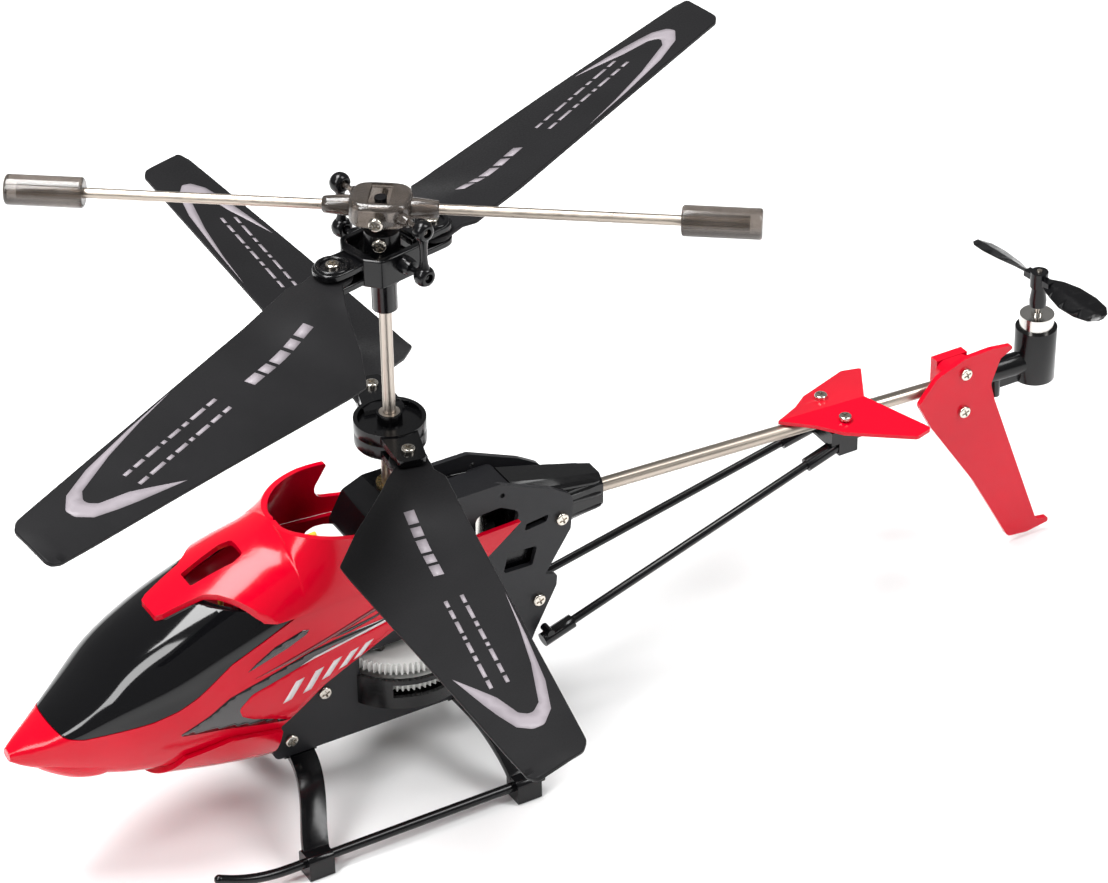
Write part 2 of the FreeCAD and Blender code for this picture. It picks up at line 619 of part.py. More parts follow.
fin = fin_half(1).fuse(fin_half(-1)).removeSplitter()
fin_screws = []
for side in (1, -1):
    level = saddle_axis.z + RIDGE_RISE - 3.9 * FIN_SLOPE
    fin = fin.cut(Part.makeCylinder(dim("plate_hole_radius"), 6, Vector(SADDLE_X, side * 3.9, level - 3)))
    seat = Vector(SADDLE_X, side * 3.9, level + FIN_THICKNESS / 2 + 0.25)
    fin_screws.append(screw(f"fin_screw_{side}", seat, Z, 2.4))
fin = fin.cut(Part.makeCylinder(boom_radius, 110, boom_start, boom_direction))
node("horizontal_fin", feature("fin", fin))

VERTICAL_FIN = [
    (-123.2, 43.0, 0.5), (-119.6, 41.2, 1), (-117.8, 36.4, 2), (-118.8, 32.8, 3), (-129.6, 3.0, 0.6),
    (-132.2, 2.6, 0.4), (-132.4, 1.6, 0.4), (-127.6, 0.9, 2), (-123.4, 1.4, 1.5), (-115.0, 16.6, 6),
    (-105.2, 31.4, 2), (-102.4, 36.8, 1.2), (-106.2, 41.4, 3), (-112.0, 43.6, 3), (-117.6, 43.8, 4),
]
VERTICAL_SCREWS = [(-112.1, 40.5), (-112.1, 32.6)]
FIN_FACE = 3.4
vertical = slab(VERTICAL_FIN, FIN_FACE - 1.0, FIN_FACE)
lug = Part.makeBox(7.0, 2.6, 11.4, Vector(-115.2, -0.2, 30.8)).common(
    slab([(-115.2, 30.8, 2), (-108.2, 30.8, 2), (-108.2, 42.2, 2), (-115.2, 42.2, 2)], -10, 10))
vertical = vertical.fuse(lug)
vertical = vertical.cut(Part.makeCylinder(boom_radius, 110, boom_start, boom_direction))
for x, z in VERTICAL_SCREWS:
    vertical = vertical.cut(Part.makeCylinder(dim("plate_hole_radius"), 12, Vector(x, -5, z), Y))
    fin_screws.append(screw(f"vertical_screw_{z}", Vector(x, FIN_FACE, z), Y, 4.6))
node("vertical_fin", feature("vertical", vertical.removeSplitter()))
node("airframe_screws", group("airframe_screw_set", frame_screws + fin_screws))

clamp = Part.makeBox(6.4, 1.9, 11.4, Vector(-114.9, -2.2, 30.8))
for x, z in VERTICAL_SCREWS:
    clamp = clamp.fuse(Part.makeCylinder(1.7, 1.9, Vector(x, -2.2, z), Y))
clamp = clamp.cut(Part.makeCylinder(boom_radius, 110, boom_start, boom_direction))
for x, z in VERTICAL_SCREWS:
    clamp = clamp.cut(Part.makeCylinder(dim("pilot_radius"), 12, Vector(x, -5, z), Y))
node("vertical_fin_clamp", feature("clamp", clamp.removeSplitter()))

# ---- tail motor and propeller ----

tail_axis = dim("tail_axis")
housing_base = dim("tail_housing_base")
housing_radius = dim("tail_housing_radius")
housing = Part.makeCylinder(housing_radius, dim("tail_housing_top") - housing_base,
                            Vector(tail_axis, 0, housing_base))
socket_start = boom_point(-118.4)
arm = Part.makeCylinder(2.1, 10.0, socket_start, boom_direction)
foot = Part.makeCylinder(1.1, 4.4, Vector(-121.0, 0, socket_start.z - 5.4))
rib = Part.makeBox(5.0, 1.4, 4.2, Vector(-126.4, -0.7, housing_base + 0.2))
housing = housing.fuse([arm, foot, rib]).removeSplitter()
motor_seat = Vector(tail_axis, 0, housing_base + 1.0)
housing = housing.cut(Part.makeCylinder(dim("tail_motor_radius"), 20, motor_seat))
housing = housing.cut(Part.makeCylinder(boom_radius, dim("boom_length"), boom_start, boom_direction))
node("tail_motor_housing", feature("housing", housing))

tail_base = "tail_housing_base + 1.0"
tail_can_height = f"tail_motor_top - ({tail_base})"
tail_can = cylinder("tail_can", "tail_motor_radius", tail_can_height, x="tail_axis", z=tail_base)
tail_boss = cylinder("tail_boss", "1.0", "0.5", x="tail_axis", z="tail_motor_top")
tail_bore = cylinder("tail_bore", "tail_shaft_radius + running_clearance", "20", x="tail_axis",
                     z="tail_housing_base + 4")
node("tail_motor", cut("tail_motor_bored", fuse("tail_motor_whole", [tail_can, tail_boss]), [tail_bore]))
node("tail_motor_shaft", cylinder("tail_shaft", "tail_shaft_radius", "17.8", x="tail_axis",
                                  z="tail_housing_base + 4.2"))

PROP_STATIONS = [(2.0, 1.0, 1.2, 38), (4.5, 1.9, 2.0, 30), (8.0, 2.6, 2.9, 24), (12.0, 2.7, 3.0, 19),
                 (15.0, 2.2, 2.4, 16), (16.4, 1.1, 1.2, 15)]


def prop_section(reach, lead, trail, pitch):
    """A thin lens across a propeller blade. The pitch is in degrees."""
    turn = math.radians(pitch)
    points = []
    for across, lift in ((-trail, 0), ((lead - trail) / 2, 0.35), (lead, 0), ((lead - trail) / 2, -0.35)):
        points.append(Vector(reach, across * math.cos(turn) - lift * math.sin(turn),
                             across * math.sin(turn) + lift * math.cos(turn)))
    return Part.makePolygon(points + [points[0]])


prop_blade = Part.makeLoft([prop_section(*station) for station in PROP_STATIONS], True, True)
prop = Part.makeCylinder(1.6, 3.0, Vector(0, 0, -1.5))
for turn in (0, 180):
    turned = prop_blade.copy()
    turned.rotate(ORIGIN, Z, turn)
    prop = prop.fuse(turned)
root_bar = Part.makeBox(6.4, 1.6, 1.2, Vector(-3.2, -0.8, -0.6))
prop = prop.fuse(root_bar).cut(Part.makeCylinder(dim("tail_shaft_radius"), 5, Vector(0, 0, -2.5)))
prop_part = feature("prop", prop.removeSplitter())
prop_centre = Vector(tail_axis, 0, dim("tail_prop_height"))
prop_part.Placement = Placement(prop_centre, heading(dim("tail_prop_angle")))
node("tail_propeller", prop_part)

# ---- landing gear ----

half_track = dim("skid_track") / 2
clamp_height = dim("clamp_height")
# Each point of a strut gives the reach from the centre line, its height and the share of the sweep.
STRUT_PATH = [(0.0, 10.7, 0.0), (5.0, 10.7, 0.03), (9.5, 10.4, 0.18), (13.5, 9.3, 0.40), (17.0, 7.3, 0.66),
              (19.8, 5.0, 0.88), (21.2, 3.4, 0.96)]


def strut_section(index, sweep, top_x, side):
    """A flat rectangle across the curved band of a strut."""
    reach, height, share = STRUT_PATH[index]
    before = STRUT_PATH[max(index - 1, 0)]
    after = STRUT_PATH[min(index + 1, len(STRUT_PATH) - 1)]
    along = Vector(0, after[0] - before[0], after[1] - before[1]).normalize()
    normal = Vector(0, -along.z, along.y)
    centre = Vector(top_x + sweep * share, reach, height)
    half_width = dim("strut_width") / 2
    half_thick = dim("strut_thickness") / 2
    signs = ((1, 1), (-1, 1), (-1, -1), (1, -1))
    points = [centre + X * a * half_width + normal * b * half_thick for a, b in signs]
    points = [mirrored(point, side) for point in points]
    return Part.makePolygon(points + [points[0]])


def strut(label, top_x, clamp_x):
    """An arch between two clamp blocks, with a block on top that fills the gap to the side plates."""
    sweep = clamp_x - top_x
    whole = None
    for side in (1, -1):
        sections = [strut_section(i, sweep, top_x, side) for i in range(len(STRUT_PATH))]
        arch = Part.makeLoft(sections, True, False)
        block = Part.makeBox(dim("clamp_length"), dim("clamp_width"), clamp_height,
                             Vector(clamp_x - dim("clamp_length") / 2, side * half_track - dim("clamp_width") / 2, 0))
        edges = [edge for edge in block.Edges if abs(edge.tangentAt(edge.FirstParameter).x) > 0.9
                 and edge.CenterOfMass.z > clamp_height / 2]
        block = block.makeFillet(1.0, edges)
        piece = arch.fuse(block)
        whole = piece if whole is None else whole.fuse(piece)
    saddle_block = Part.makeBox(6.0, 9.3, 3.2, Vector(top_x - 3.0, -4.65, 10.2))
    whole = whole.fuse(saddle_block).removeSplitter()
    for side in (1, -1):
        whole = whole.cut(Part.makeCylinder(dim("skid_radius"), 20,
                                            Vector(clamp_x - 10, side * half_track, dim("skid_height")), X))
    return feature(label, whole)


FRONT_STRUT_TOP = 21.5
REAR_STRUT_TOP = -9.6
front_strut = strut("front_arch", FRONT_STRUT_TOP, dim("front_clamp"))
front_screw = Vector(FRAME_SCREWS[0][0], -15, FRAME_SCREWS[0][1])
front_spacer_room = Part.makeCylinder(dim("spacer_radius"), 30, front_screw, Y)
front_strut.Shape = front_strut.Shape.cut(front_spacer_room)
rear_strut = strut("rear_arch", REAR_STRUT_TOP, dim("rear_clamp"))
node("skid_struts", group("strut_pair", [front_strut, rear_strut]))

SKID_TAIL = -15.0
SKID_BEND_START = 33.0
SKID_BEND_RADIUS = 26.0
SKID_BEND = 26.0


def skid(label, side):
    """A rod with a toe that curls up: a straight run, a bend and a short straight tip."""
    y = side * half_track
    level = dim("skid_height")
    start = Vector(SKID_TAIL, y, level)
    bend_start = Vector(SKID_BEND_START, y, level)

    def on_bend(degrees):
        turn = math.radians(degrees)
        return bend_start + X * SKID_BEND_RADIUS * math.sin(turn) + Z * SKID_BEND_RADIUS * (1 - math.cos(turn))

    bend_end = on_bend(SKID_BEND)
    tip = bend_end + Vector(math.cos(math.radians(SKID_BEND)), 0, math.sin(math.radians(SKID_BEND))) * 1.2
    path = Part.Wire([Part.LineSegment(start, bend_start).toShape(),
                      Part.Arc(bend_start, on_bend(SKID_BEND / 2), bend_end).toShape(),
                      Part.LineSegment(bend_end, tip).toShape()])
    radius = dim("skid_radius")
    profile = Part.Wire([Part.Circle(start, X, radius).toShape()])
    rod = path.makePipeShell([profile], True, False)
    ball = Part.makeSphere(radius, tip)
    return feature(label, rod.fuse(ball).removeSplitter())


node("skid_rods", group("skid_pair", [skid("left_skid_rod", 1), skid("right_skid_rod", -1)]))

# ---- battery, board, socket, switch and wires inside the nose ----

battery = box("battery_block", "battery_length", "battery_width", "battery_height",
              x="29.5", y="-battery_width / 2", z="22.4")
battery_round = doc.addObject("Part::Fillet", "battery_rounded")
battery_round.Base = battery
battery_round.Edges = [(index, 0.8, 0.8) for index in range(1, 13)]
node("battery", battery_round)

BOARD_PLAN = [(25.6, -4.4, 0.6), (49.0, -4.4, 0.6), (49.0, 4.4, 0.6), (25.6, 4.4, 0.6)]
board = pad("board", "XY_Plane", [rounded(BOARD_PLAN)], "0.8", "33.2")
node("circuit_board", board)
BOARD_TOP = 34.0
CHIPS = [(28.0, -2.4, 4.4, 4.4, 1.0), (36.0, -2.6, 5.2, 3.2, 1.2), (43.0, -1.6, 3.6, 3.4, 2.6),
         (34.6, 1.6, 3.0, 2.0, 0.9)]
chips = [box(f"chip_{i}", str(a), str(b), str(tall), x=str(x), y=str(y), z=str(BOARD_TOP))
         for i, (x, y, a, b, tall) in enumerate(CHIPS)]
node("board_components", group("chip_set", chips))

socket_body = box("socket_blank", "5", "2.6", "3.4", x="33", y="-10.9", z="27.6")
socket_hole = cylinder("socket_hole", "0.9", "2.0", Vector(35.5, -10.9, 29.3), Y)
node("charge_socket", cut("socket_cut", socket_body, [socket_hole]))

SWITCH_X = 36.0
SWITCH_LOW = 16.9
switch_blank = box("switch_blank", "7", "3.4", "3.2", x=str(SWITCH_X), y="-1.7", z=str(SWITCH_LOW))
switch_slot = box("switch_slot", "4.6", "1.6", "1.6", x=str(SWITCH_X + 1.2), y="-0.8", z=str(SWITCH_LOW))
node("switch_body", cut("switch_cut", switch_blank, [switch_slot]))
knob = box("knob_blank", "2.2", "1.2", "4.4", x=str(SWITCH_X + 1.4), y="-0.6", z=str(SWITCH_LOW - 3.0))
node("switch_knob", knob)

WIRE_RADIUS = 0.45


def rounded_tube(label, points, radius, bend):
    """A round tube along straight runs joined by tangent arcs."""
    path = []
    start = points[0]
    for before, corner, after in zip(points, points[1:], points[2:]):
        back = (before - corner).normalize()
        onward = (after - corner).normalize()
        half = back.getAngle(onward) / 2
        reach = bend / math.tan(half)
        middle = corner + (back + onward).normalize() * (bend / math.sin(half) - bend)
        path.append(Part.LineSegment(start, corner + back * reach).toShape())
        path.append(Part.Arc(corner + back * reach, middle, corner + onward * reach).toShape())
        start = corner + onward * reach
    path.append(Part.LineSegment(start, points[-1]).toShape())
    spine = Part.Wire(path)
    profile = Part.Wire([Part.Circle(points[0], points[1] - points[0], radius).toShape()])
    return feature(label, spine.makePipeShell([profile], True, False))


FRONT_WIRE_RUN = [(31.4, 3.8, 34.0), (31.4, 4.8, 48.2), (24.0, 3.4, 48.6), (14.6, 1.2, 48.7)]
WIRE_BEND = 2.6
wire_front = rounded_tube("front_wire", [Vector(*p) for p in FRONT_WIRE_RUN], WIRE_RADIUS, WIRE_BEND)
RETURN_WIRE_RUN = [(33.4, 2.6, 36.4), (33.0, 2.2, 47.0), (26.0, 0.4, 49.2), (13.8, -1.4, 48.7)]
wire_return = rounded_tube("return_wire", [Vector(*p) for p in RETURN_WIRE_RUN], WIRE_RADIUS, WIRE_BEND)
node("motor_wire_dark", wire_front)
node("motor_wire_yellow", wire_return)

# Room for the things that pass through the skin.
nose = nodes["nose_shell"]
socket_window = Part.makeBox(5.2, 6, 3.6, Vector(32.9, -14.5, 27.5))
nose.Shape = nose.Shape.cut(socket_window)
belly = nodes["belly_pan"]
switch_window = Part.makeBox(7.4, 3.8, 12, Vector(SWITCH_X - 0.2, -1.9, 8.0))
belly.Shape = belly.Shape.cut(switch_window)

# ---- lower rotor ----

outer_length = "outer_shaft_top - outer_shaft_base"
outer_tube = cylinder("outer_tube", "outer_shaft_radius", outer_length, z="outer_shaft_base")
outer_bore = cylinder("outer_bore", "outer_shaft_bore", outer_length, z="outer_shaft_base")
node("outer_shaft", cut("outer_shaft_tube", outer_tube, [outer_bore]))

pivot = dim("pivot_radius")
slot_half = dim("blade_tab") / 2 + 0.15
lower_plane = dim("lower_blade_height")
lower_angle = dim("lower_hub_angle")
HUB_ARM = [(3.0, -3.4), (pivot - 0.6, -2.7), (pivot + 3.0, -2.3, 1.2), (pivot + 3.0, 2.3, 1.2),
           (pivot - 0.6, 2.7), (3.0, 3.4)]


def arms(low, high, degrees):
    """Two opposite arms as one solid with whatever joins them."""
    one = slab(HUB_ARM, low, high, "XY")
    other = one.copy()
    other.rotate(ORIGIN, Z, 180)
    pair = [one, other]
    for arm_part in pair:
        arm_part.rotate(ORIGIN, Z, degrees)
    return pair


def pivot_holes(radius, degrees, low, high):
    holes = [Part.makeCylinder(radius, high - low, polar(pivot, degrees + turn, low)) for turn in (0, 180)]
    return holes[0].fuse(holes[1])


disc = dim("lower_disc_radius")
tab_low = lower_plane - slot_half
tab_high = lower_plane + slot_half
bore_cut = Part.makeCylinder(dim("outer_shaft_radius"), 40, Vector(0, 0, 50))
base = Part.makeCylinder(disc, lower_plane - 62.9, Vector(0, 0, 62.9))
lower_rims = [edge for edge in base.Edges if edge.CenterOfMass.z < 63
              and not edge.isSeam(base.Faces[0]) and isinstance(edge.Curve, Part.Circle)]
base = base.makeFillet(0.8, lower_rims)
base = base.fuse(arms(tab_low - 1.3, tab_low, lower_angle)).removeSplitter()
base = base.cut(bore_cut).cut(pivot_holes(dim("pilot_radius"), lower_angle, 60, 70))
node("lower_hub_base", feature("lower_base", base))

cap_low = lower_plane
cap = Part.makeCylinder(disc, 67.9 - cap_low, Vector(0, 0, cap_low))
cap = cap.cut(Part.makeCylinder(disc - 0.7, 2, Vector(0, 0, 66.9)))
cap = cap.fuse(Part.makeCylinder(dim("head_collar_radius"), 2.9, Vector(0, 0, 66.0)))
cap = cap.fuse(arms(tab_high, tab_high + 1.2, lower_angle)).removeSplitter()
cap = cap.cut(bore_cut).cut(pivot_holes(dim("plate_hole_radius"), lower_angle, 60, 72))
node("lower_hub_cap", feature("lower_cap", cap))


def blade_screws(label, plane, degrees, turns=(0, 180)):
    screws = []
    for turn in turns:
        seat = polar(pivot, degrees + turn, plane + slot_half + 1.2)
        screws.append(screw(f"{label}_{turn}", seat, Z, 3.6))
    return group(label, screws)


node("lower_blade_screws", blade_screws("lower_screws", lower_plane, lower_angle))

# ---- main blades ----

# Each station gives the reach, the leading edge and its rise, and the trailing edge and its rise.
BLADE_STATIONS = [
    (14.6, -4.4, 0.0, 7.2, -0.7), (20.0, -4.4, 0.0, 11.0, -3.0), (27.9, -4.4, -0.1, 16.2, -5.7),
    (33.5, -4.4, 0.1, 15.4, -5.3), (60.0, -4.3, 0.9, 11.4, -2.7), (88.0, -4.2, 1.7, 7.2, -0.3),
    (91.6, -4.0, 1.7, 6.7, 0.0), (93.6, -2.4, 1.5, 6.3, 0.2), (96.4, 3.0, 0.7, 5.6, 0.4),
]
BLADE_THICKNESS = 0.9


def blade_section(reach, lead, lead_rise, trail, trail_rise):
    """A thin six-sided aerofoil across the blade, thickest a third of the way back."""
    crest = lead + (trail - lead) * 0.33
    crest_rise = lead_rise + (trail_rise - lead_rise) * 0.33
    half = BLADE_THICKNESS / 2
    points = [Vector(reach, lead, lead_rise - 0.15), Vector(reach, lead, lead_rise + 0.15),
              Vector(reach, crest, crest_rise + half + 0.25), Vector(reach, trail, trail_rise + 0.15),
              Vector(reach, trail, trail_rise - 0.15), Vector(reach, crest, crest_rise - half + 0.25)]
    return Part.makePolygon(points + [points[0]])


def blade(label, hub_angle, blade_angle, plane, handed):
    """A blade whose root tab turns about its screw. Handed is 1 where the trailing edge lies to the left."""
    skin_part = Part.makeLoft([blade_section(*station) for station in BLADE_STATIONS], True, True)
    tab_half = dim("blade_tab") / 2
    tab = Part.makeCylinder(3.2, 2 * tab_half, Vector(pivot, 0, -tab_half))
    neck_plan = [(pivot, -3.2), (15.2, -4.4), (15.2, 6.4), (pivot + 3.2, 4.2), (pivot, 3.2)]
    neck = slab(neck_plan, -tab_half, tab_half, "XY")
    whole = skin_part.fuse([tab, neck]).removeSplitter()
    whole = whole.cut(Part.makeCylinder(dim("screw_radius") + 0.06, 6, Vector(pivot, 0, -3)))
    if handed < 0:
        whole = whole.mirror(ORIGIN, Y)
    thing = feature(label, whole)
    turn = heading(blade_angle)
    pivot_place = polar(pivot, hub_angle, plane)
    thing.Placement = Placement(pivot_place - turn.multVec(X * pivot), turn)
    return thing


upper_plane = dim("upper_blade_height")
upper_angle = dim("upper_hub_angle")
node("lower_blade_1", blade("lower_1", lower_angle, dim("lower_blade_1_angle"), lower_plane, -1))
node("lower_blade_2", blade("lower_2", lower_angle + 180, dim("lower_blade_2_angle"), lower_plane, -1))
node("upper_blade_1", blade("upper_1", upper_angle, dim("upper_blade_1_angle"), upper_plane, 1))
node("upper_blade_2", blade("upper_2", upper_angle + 180, dim("upper_blade_2_angle"), upper_plane, 1))

# ---- upper rotor head ----

node("inner_shaft", cylinder("inner_rod", "inner_shaft_radius", "inner_shaft_top - inner_shaft_base",
                             z="inner_shaft_base"))
flybar_angle = dim("flybar_angle")
teeter_angle = flybar_angle + 90
ball_angle = upper_angle + 90
teeter_axis = polar(1, teeter_angle)
ball_axis = polar(1, ball_angle)
yoke_height = dim("yoke_pivot_height")
flybar_height = dim("flybar_pivot_height")
pin_radius = dim("teeter_pin_radius")

collar = Part.makeCylinder(dim("head_collar_radius"), 5.6, Vector(0, 0, dim("head_collar_base")))
core = Part.makeCylinder(dim("head_core_radius"), 9.0, Vector(0, 0, 94.4))
post = Part.makeCylinder(dim("head_post_radius"), 5.8, Vector(0, 0, 103.4))
head = collar.fuse([core, post]).removeSplitter()
head = head.cut(Part.makeCylinder(dim("inner_shaft_radius"), 8, Vector(0, 0, 88.0)))
for height in (yoke_height, flybar_height):
    head = head.cut(Part.makeCylinder(pin_radius, 20, Vector(0, 0, height) - teeter_axis * 10, teeter_axis))
node("rotor_head_core", feature("head_core", head))

yoke_pin = Part.makeCylinder(pin_radius, 10.8, Vector(0, 0, yoke_height) - teeter_axis * 5.4, teeter_axis)
flybar_pin = Part.makeCylinder(pin_radius, 10.8, Vector(0, 0, flybar_height) - teeter_axis * 5.2, teeter_axis)
clamp_seat = Vector(0, 0, 102.0) + teeter_axis * (dim("head_core_radius") - 0.15)
clamp_screw = screw("clamp_screw", clamp_seat, teeter_axis, 1.8)
pin_head = screw("pin_head", Vector(0, 0, flybar_height) + teeter_axis * 5.45, teeter_axis, 0.4)
nodes["rotor_head_core"].Shape = head.cut(clamp_screw.Shape)
flybar_pin = feature("flybar_pin", flybar_pin.fuse(pin_head.Shape))
yoke_pin = feature("yoke_pin", yoke_pin)
node("head_pins", group("pins", [yoke_pin, flybar_pin, clamp_screw]))

YOKE_ARM = [(4.0, -3.0), (pivot - 1.0, -2.7), (pivot + 3.2, -2.4, 1.6), (pivot + 3.2, 2.4, 1.6),
            (pivot - 1.0, 2.7), (4.0, 3.0)]
jaw_low = upper_plane - slot_half
jaw_high = upper_plane + slot_half
yoke = Part.makeCylinder(6.0, 5.4, Vector(0, 0, 96.2))
for turn in (0, 180):
    for low, high in ((jaw_low - 1.2, jaw_low), (jaw_high, jaw_high + 1.2)):
        arm_part = slab(YOKE_ARM, low, high, "XY")
        arm_part.rotate(ORIGIN, Z, upper_angle + turn)
        yoke = yoke.fuse(arm_part)
    jaw_room = Part.makeCylinder(4.6, 2 * slot_half, polar(pivot + 0.9, upper_angle + turn, jaw_low))
    yoke = yoke.cut(jaw_room)
for side in (1, -1):
    reach = dim("ball_reach")
    outward = ball_axis * side
    root = Z * yoke_height + outward * 5.0
    stud = Part.makeCylinder(0.45, reach - 5.0, root, outward)
    arm_root = Part.makeCylinder(1.3, 3.0, root, outward)
    ball = Part.makeSphere(dim("ball_radius"), Z * yoke_height + outward * reach)
    yoke = yoke.fuse([stud, arm_root, ball])
core_room = Part.makeCylinder(dim("head_core_radius") + 1.15, 10, Vector(0, 0, 94))
yoke = yoke.cut(core_room)
pin_start = Z * yoke_height - teeter_axis * 10
yoke = yoke.cut(Part.makeCylinder(pin_radius + 0.06, 20, pin_start, teeter_axis))
yoke = yoke.cut(pivot_holes(dim("screw_radius"), upper_angle, 90, 106))
node("blade_yoke", feature("yoke", yoke.removeSplitter()))
node("upper_blade_screws", blade_screws("upper_screws", upper_plane, upper_angle))

# ---- flybar ----

HUB_RADIUS = 4.9
HUB_WALL = 0.7
hub_low = flybar_height - 2.1
dome = Part.makeCylinder(HUB_RADIUS, 4.6, Vector(0, 0, hub_low))
dome = dome.makeFillet(1.3, [edge for edge in dome.Edges if edge.CenterOfMass.z > hub_low + 4 and
                             isinstance(edge.Curve, Part.Circle)])
hollow = Part.makeCylinder(HUB_RADIUS - HUB_WALL, 3.9, Vector(0, 0, hub_low - 0.01))
dome = dome.cut(hollow).cut(Part.makeCylinder(2.2, 8, Vector(0, 0, hub_low)))
bar_axis = polar(1, flybar_angle)
rod_level = Vector(0, 0, flybar_height)
for side in (1, -1):
    boss = Part.makeCylinder(1.5, 4.8, rod_level + bar_axis * side * (HUB_RADIUS - 0.9), bar_axis * side)
    outward = ball_axis * side
    ball_arm = Part.makeCylinder(0.9, 2.6, rod_level + outward * (HUB_RADIUS - 0.6), outward)
    stud = Part.makeCylinder(0.45, dim("ball_reach") - 5.4, rod_level + outward * 5.4, outward)
    ball = Part.makeSphere(dim("ball_radius"), rod_level + outward * dim("ball_reach"))
    dome = dome.fuse([boss, ball_arm, stud, ball])
half_length = dim("flybar_half_length")
rod_radius = dim("flybar_rod_radius")
weight_length = dim("flybar_weight_length")
rod_inner = HUB_RADIUS - HUB_WALL - 0.4
rods, weights = [], []
for side, name in ((1, "a"), (-1, "b")):
    inner = rod_level + bar_axis * side * rod_inner
    rod = Part.makeCylinder(rod_radius, half_length - 2 - rod_inner, inner, bar_axis * side)
    dome = dome.cut(rod)
    rods.append(feature(f"flybar_rod_{name}", rod))
    start = rod_level + bar_axis * side * (half_length - weight_length)
    weight = Part.makeCylinder(dim("flybar_weight_radius"), weight_length, start, bar_axis * side)
    ends = [edge for edge in weight.Edges if isinstance(edge.Curve, Part.Circle)]
    weights.append(feature(f"flybar_weight_{name}", weight.makeFillet(0.5, ends).cut(rod)))
dome = dome.cut(Part.makeCylinder(pin_radius + 0.06, 20, rod_level - teeter_axis * 10, teeter_axis))
node("flybar_hub", feature("hub", dome.removeSplitter()))
node("flybar_rods", group("flybar_rod_pair", rods))
node("flybar_weights", group("flybar_weight_pair", weights))


def link(label, side):
    """A straight link with a round eye at each end. Each eye holds a ball in a spherical seat."""
    low = Vector(0, 0, yoke_height) + ball_axis * side * dim("ball_reach")
    high = rod_level + ball_axis * side * dim("ball_reach")
    eye = dim("link_eye_radius")
    body = Part.makeCylinder(0.75, flybar_height - yoke_height, low)
    for centre in (low, high):
        body = body.fuse(Part.makeCylinder(eye, 2.2, centre - ball_axis * 1.1, ball_axis))
    body = body.removeSplitter()
    for centre in (low, high):
        body = body.cut(Part.makeSphere(dim("ball_radius") + 0.07, centre))
        body = body.cut(Part.makeCylinder(0.8, 4, centre - ball_axis * 2, ball_axis))
    return feature(label, body)


node("link_1", link("link_body_1", 1))
node("link_2", link("link_body_2", -1))

# ---- checks and files ----

doc.recompute()
for thing in doc.Objects:
    if "Invalid" in thing.State or "Error" in thing.State:
        raise RuntimeError(f"{thing.Label} failed: {thing.State}")
os.makedirs("parts", exist_ok=True)
for name, thing in nodes.items():
    shape = thing.Shape
    if shape.isNull() or not shape.isValid() or not shape.Solids:
        raise RuntimeError(f"{name} has no valid solid")
    shape.exportStep(f"parts/{name}.step")
    box_size = shape.BoundBox
    print(f"{name:24} solids {len(shape.Solids):2}  volume {shape.Volume:10.2f}  "
          f"x {box_size.XMin:7.2f} {box_size.XMax:7.2f}  y {box_size.YMin:7.2f} {box_size.YMax:7.2f}  "
          f"z {box_size.ZMin:7.2f} {box_size.ZMax:7.2f}")
print(len(nodes), "nodes")
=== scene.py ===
import json
import math

import bmesh
import bpy
from mathutils import Matrix, Vector
from mathutils.geometry import delaunay_2d_cdt


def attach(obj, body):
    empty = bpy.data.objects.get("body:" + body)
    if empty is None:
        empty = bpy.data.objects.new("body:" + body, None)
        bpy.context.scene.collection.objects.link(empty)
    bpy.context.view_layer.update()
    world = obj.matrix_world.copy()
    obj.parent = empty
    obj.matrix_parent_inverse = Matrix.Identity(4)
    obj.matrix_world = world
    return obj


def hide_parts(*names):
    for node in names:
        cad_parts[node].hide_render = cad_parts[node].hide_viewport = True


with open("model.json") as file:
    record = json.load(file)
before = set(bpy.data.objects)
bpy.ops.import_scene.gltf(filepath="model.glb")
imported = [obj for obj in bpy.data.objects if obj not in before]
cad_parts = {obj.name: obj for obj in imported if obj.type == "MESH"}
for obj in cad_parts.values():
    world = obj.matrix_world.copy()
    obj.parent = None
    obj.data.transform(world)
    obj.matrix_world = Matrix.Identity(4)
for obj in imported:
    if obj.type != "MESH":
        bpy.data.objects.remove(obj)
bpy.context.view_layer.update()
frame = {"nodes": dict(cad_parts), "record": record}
MM = 0.001
NODES = frame["nodes"]


# ---- materials ----

def new_material(name):
    mat = bpy.data.materials.new(name)
    mat.use_nodes = True
    tree = mat.node_tree
    return mat, tree, tree.nodes["Principled BSDF"]


def put(tree, kind, **values):
    made = tree.nodes.new(kind)
    for key, value in values.items():
        if key in made.inputs:
            made.inputs[key].default_value = value
        else:
            setattr(made, key, value)
    return made


def noise(tree, scale, detail=3.0, stretch=(1, 1, 1), rough=0.5):
    """Noise in object space. Scale is in features per metre."""
    where = put(tree, "ShaderNodeTexCoord")
    mapping = put(tree, "ShaderNodeMapping")
    mapping.inputs["Scale"].default_value = stretch
    texture = put(tree, "ShaderNodeTexNoise", Scale=scale, Detail=detail, Roughness=rough)
    tree.links.new(where.outputs["Object"], mapping.inputs["Vector"])
    tree.links.new(mapping.outputs["Vector"], texture.inputs["Vector"])
    return texture.outputs["Fac"]


def remap(tree, source, low, high, start=0.3, end=0.7):
    ramp = put(tree, "ShaderNodeMapRange")
    ramp.inputs["From Min"].default_value = start
    ramp.inputs["From Max"].default_value = end
    ramp.inputs["To Min"].default_value = low
    ramp.inputs["To Max"].default_value = high
    tree.links.new(source, ramp.inputs["Value"])
    return ramp.outputs["Result"]


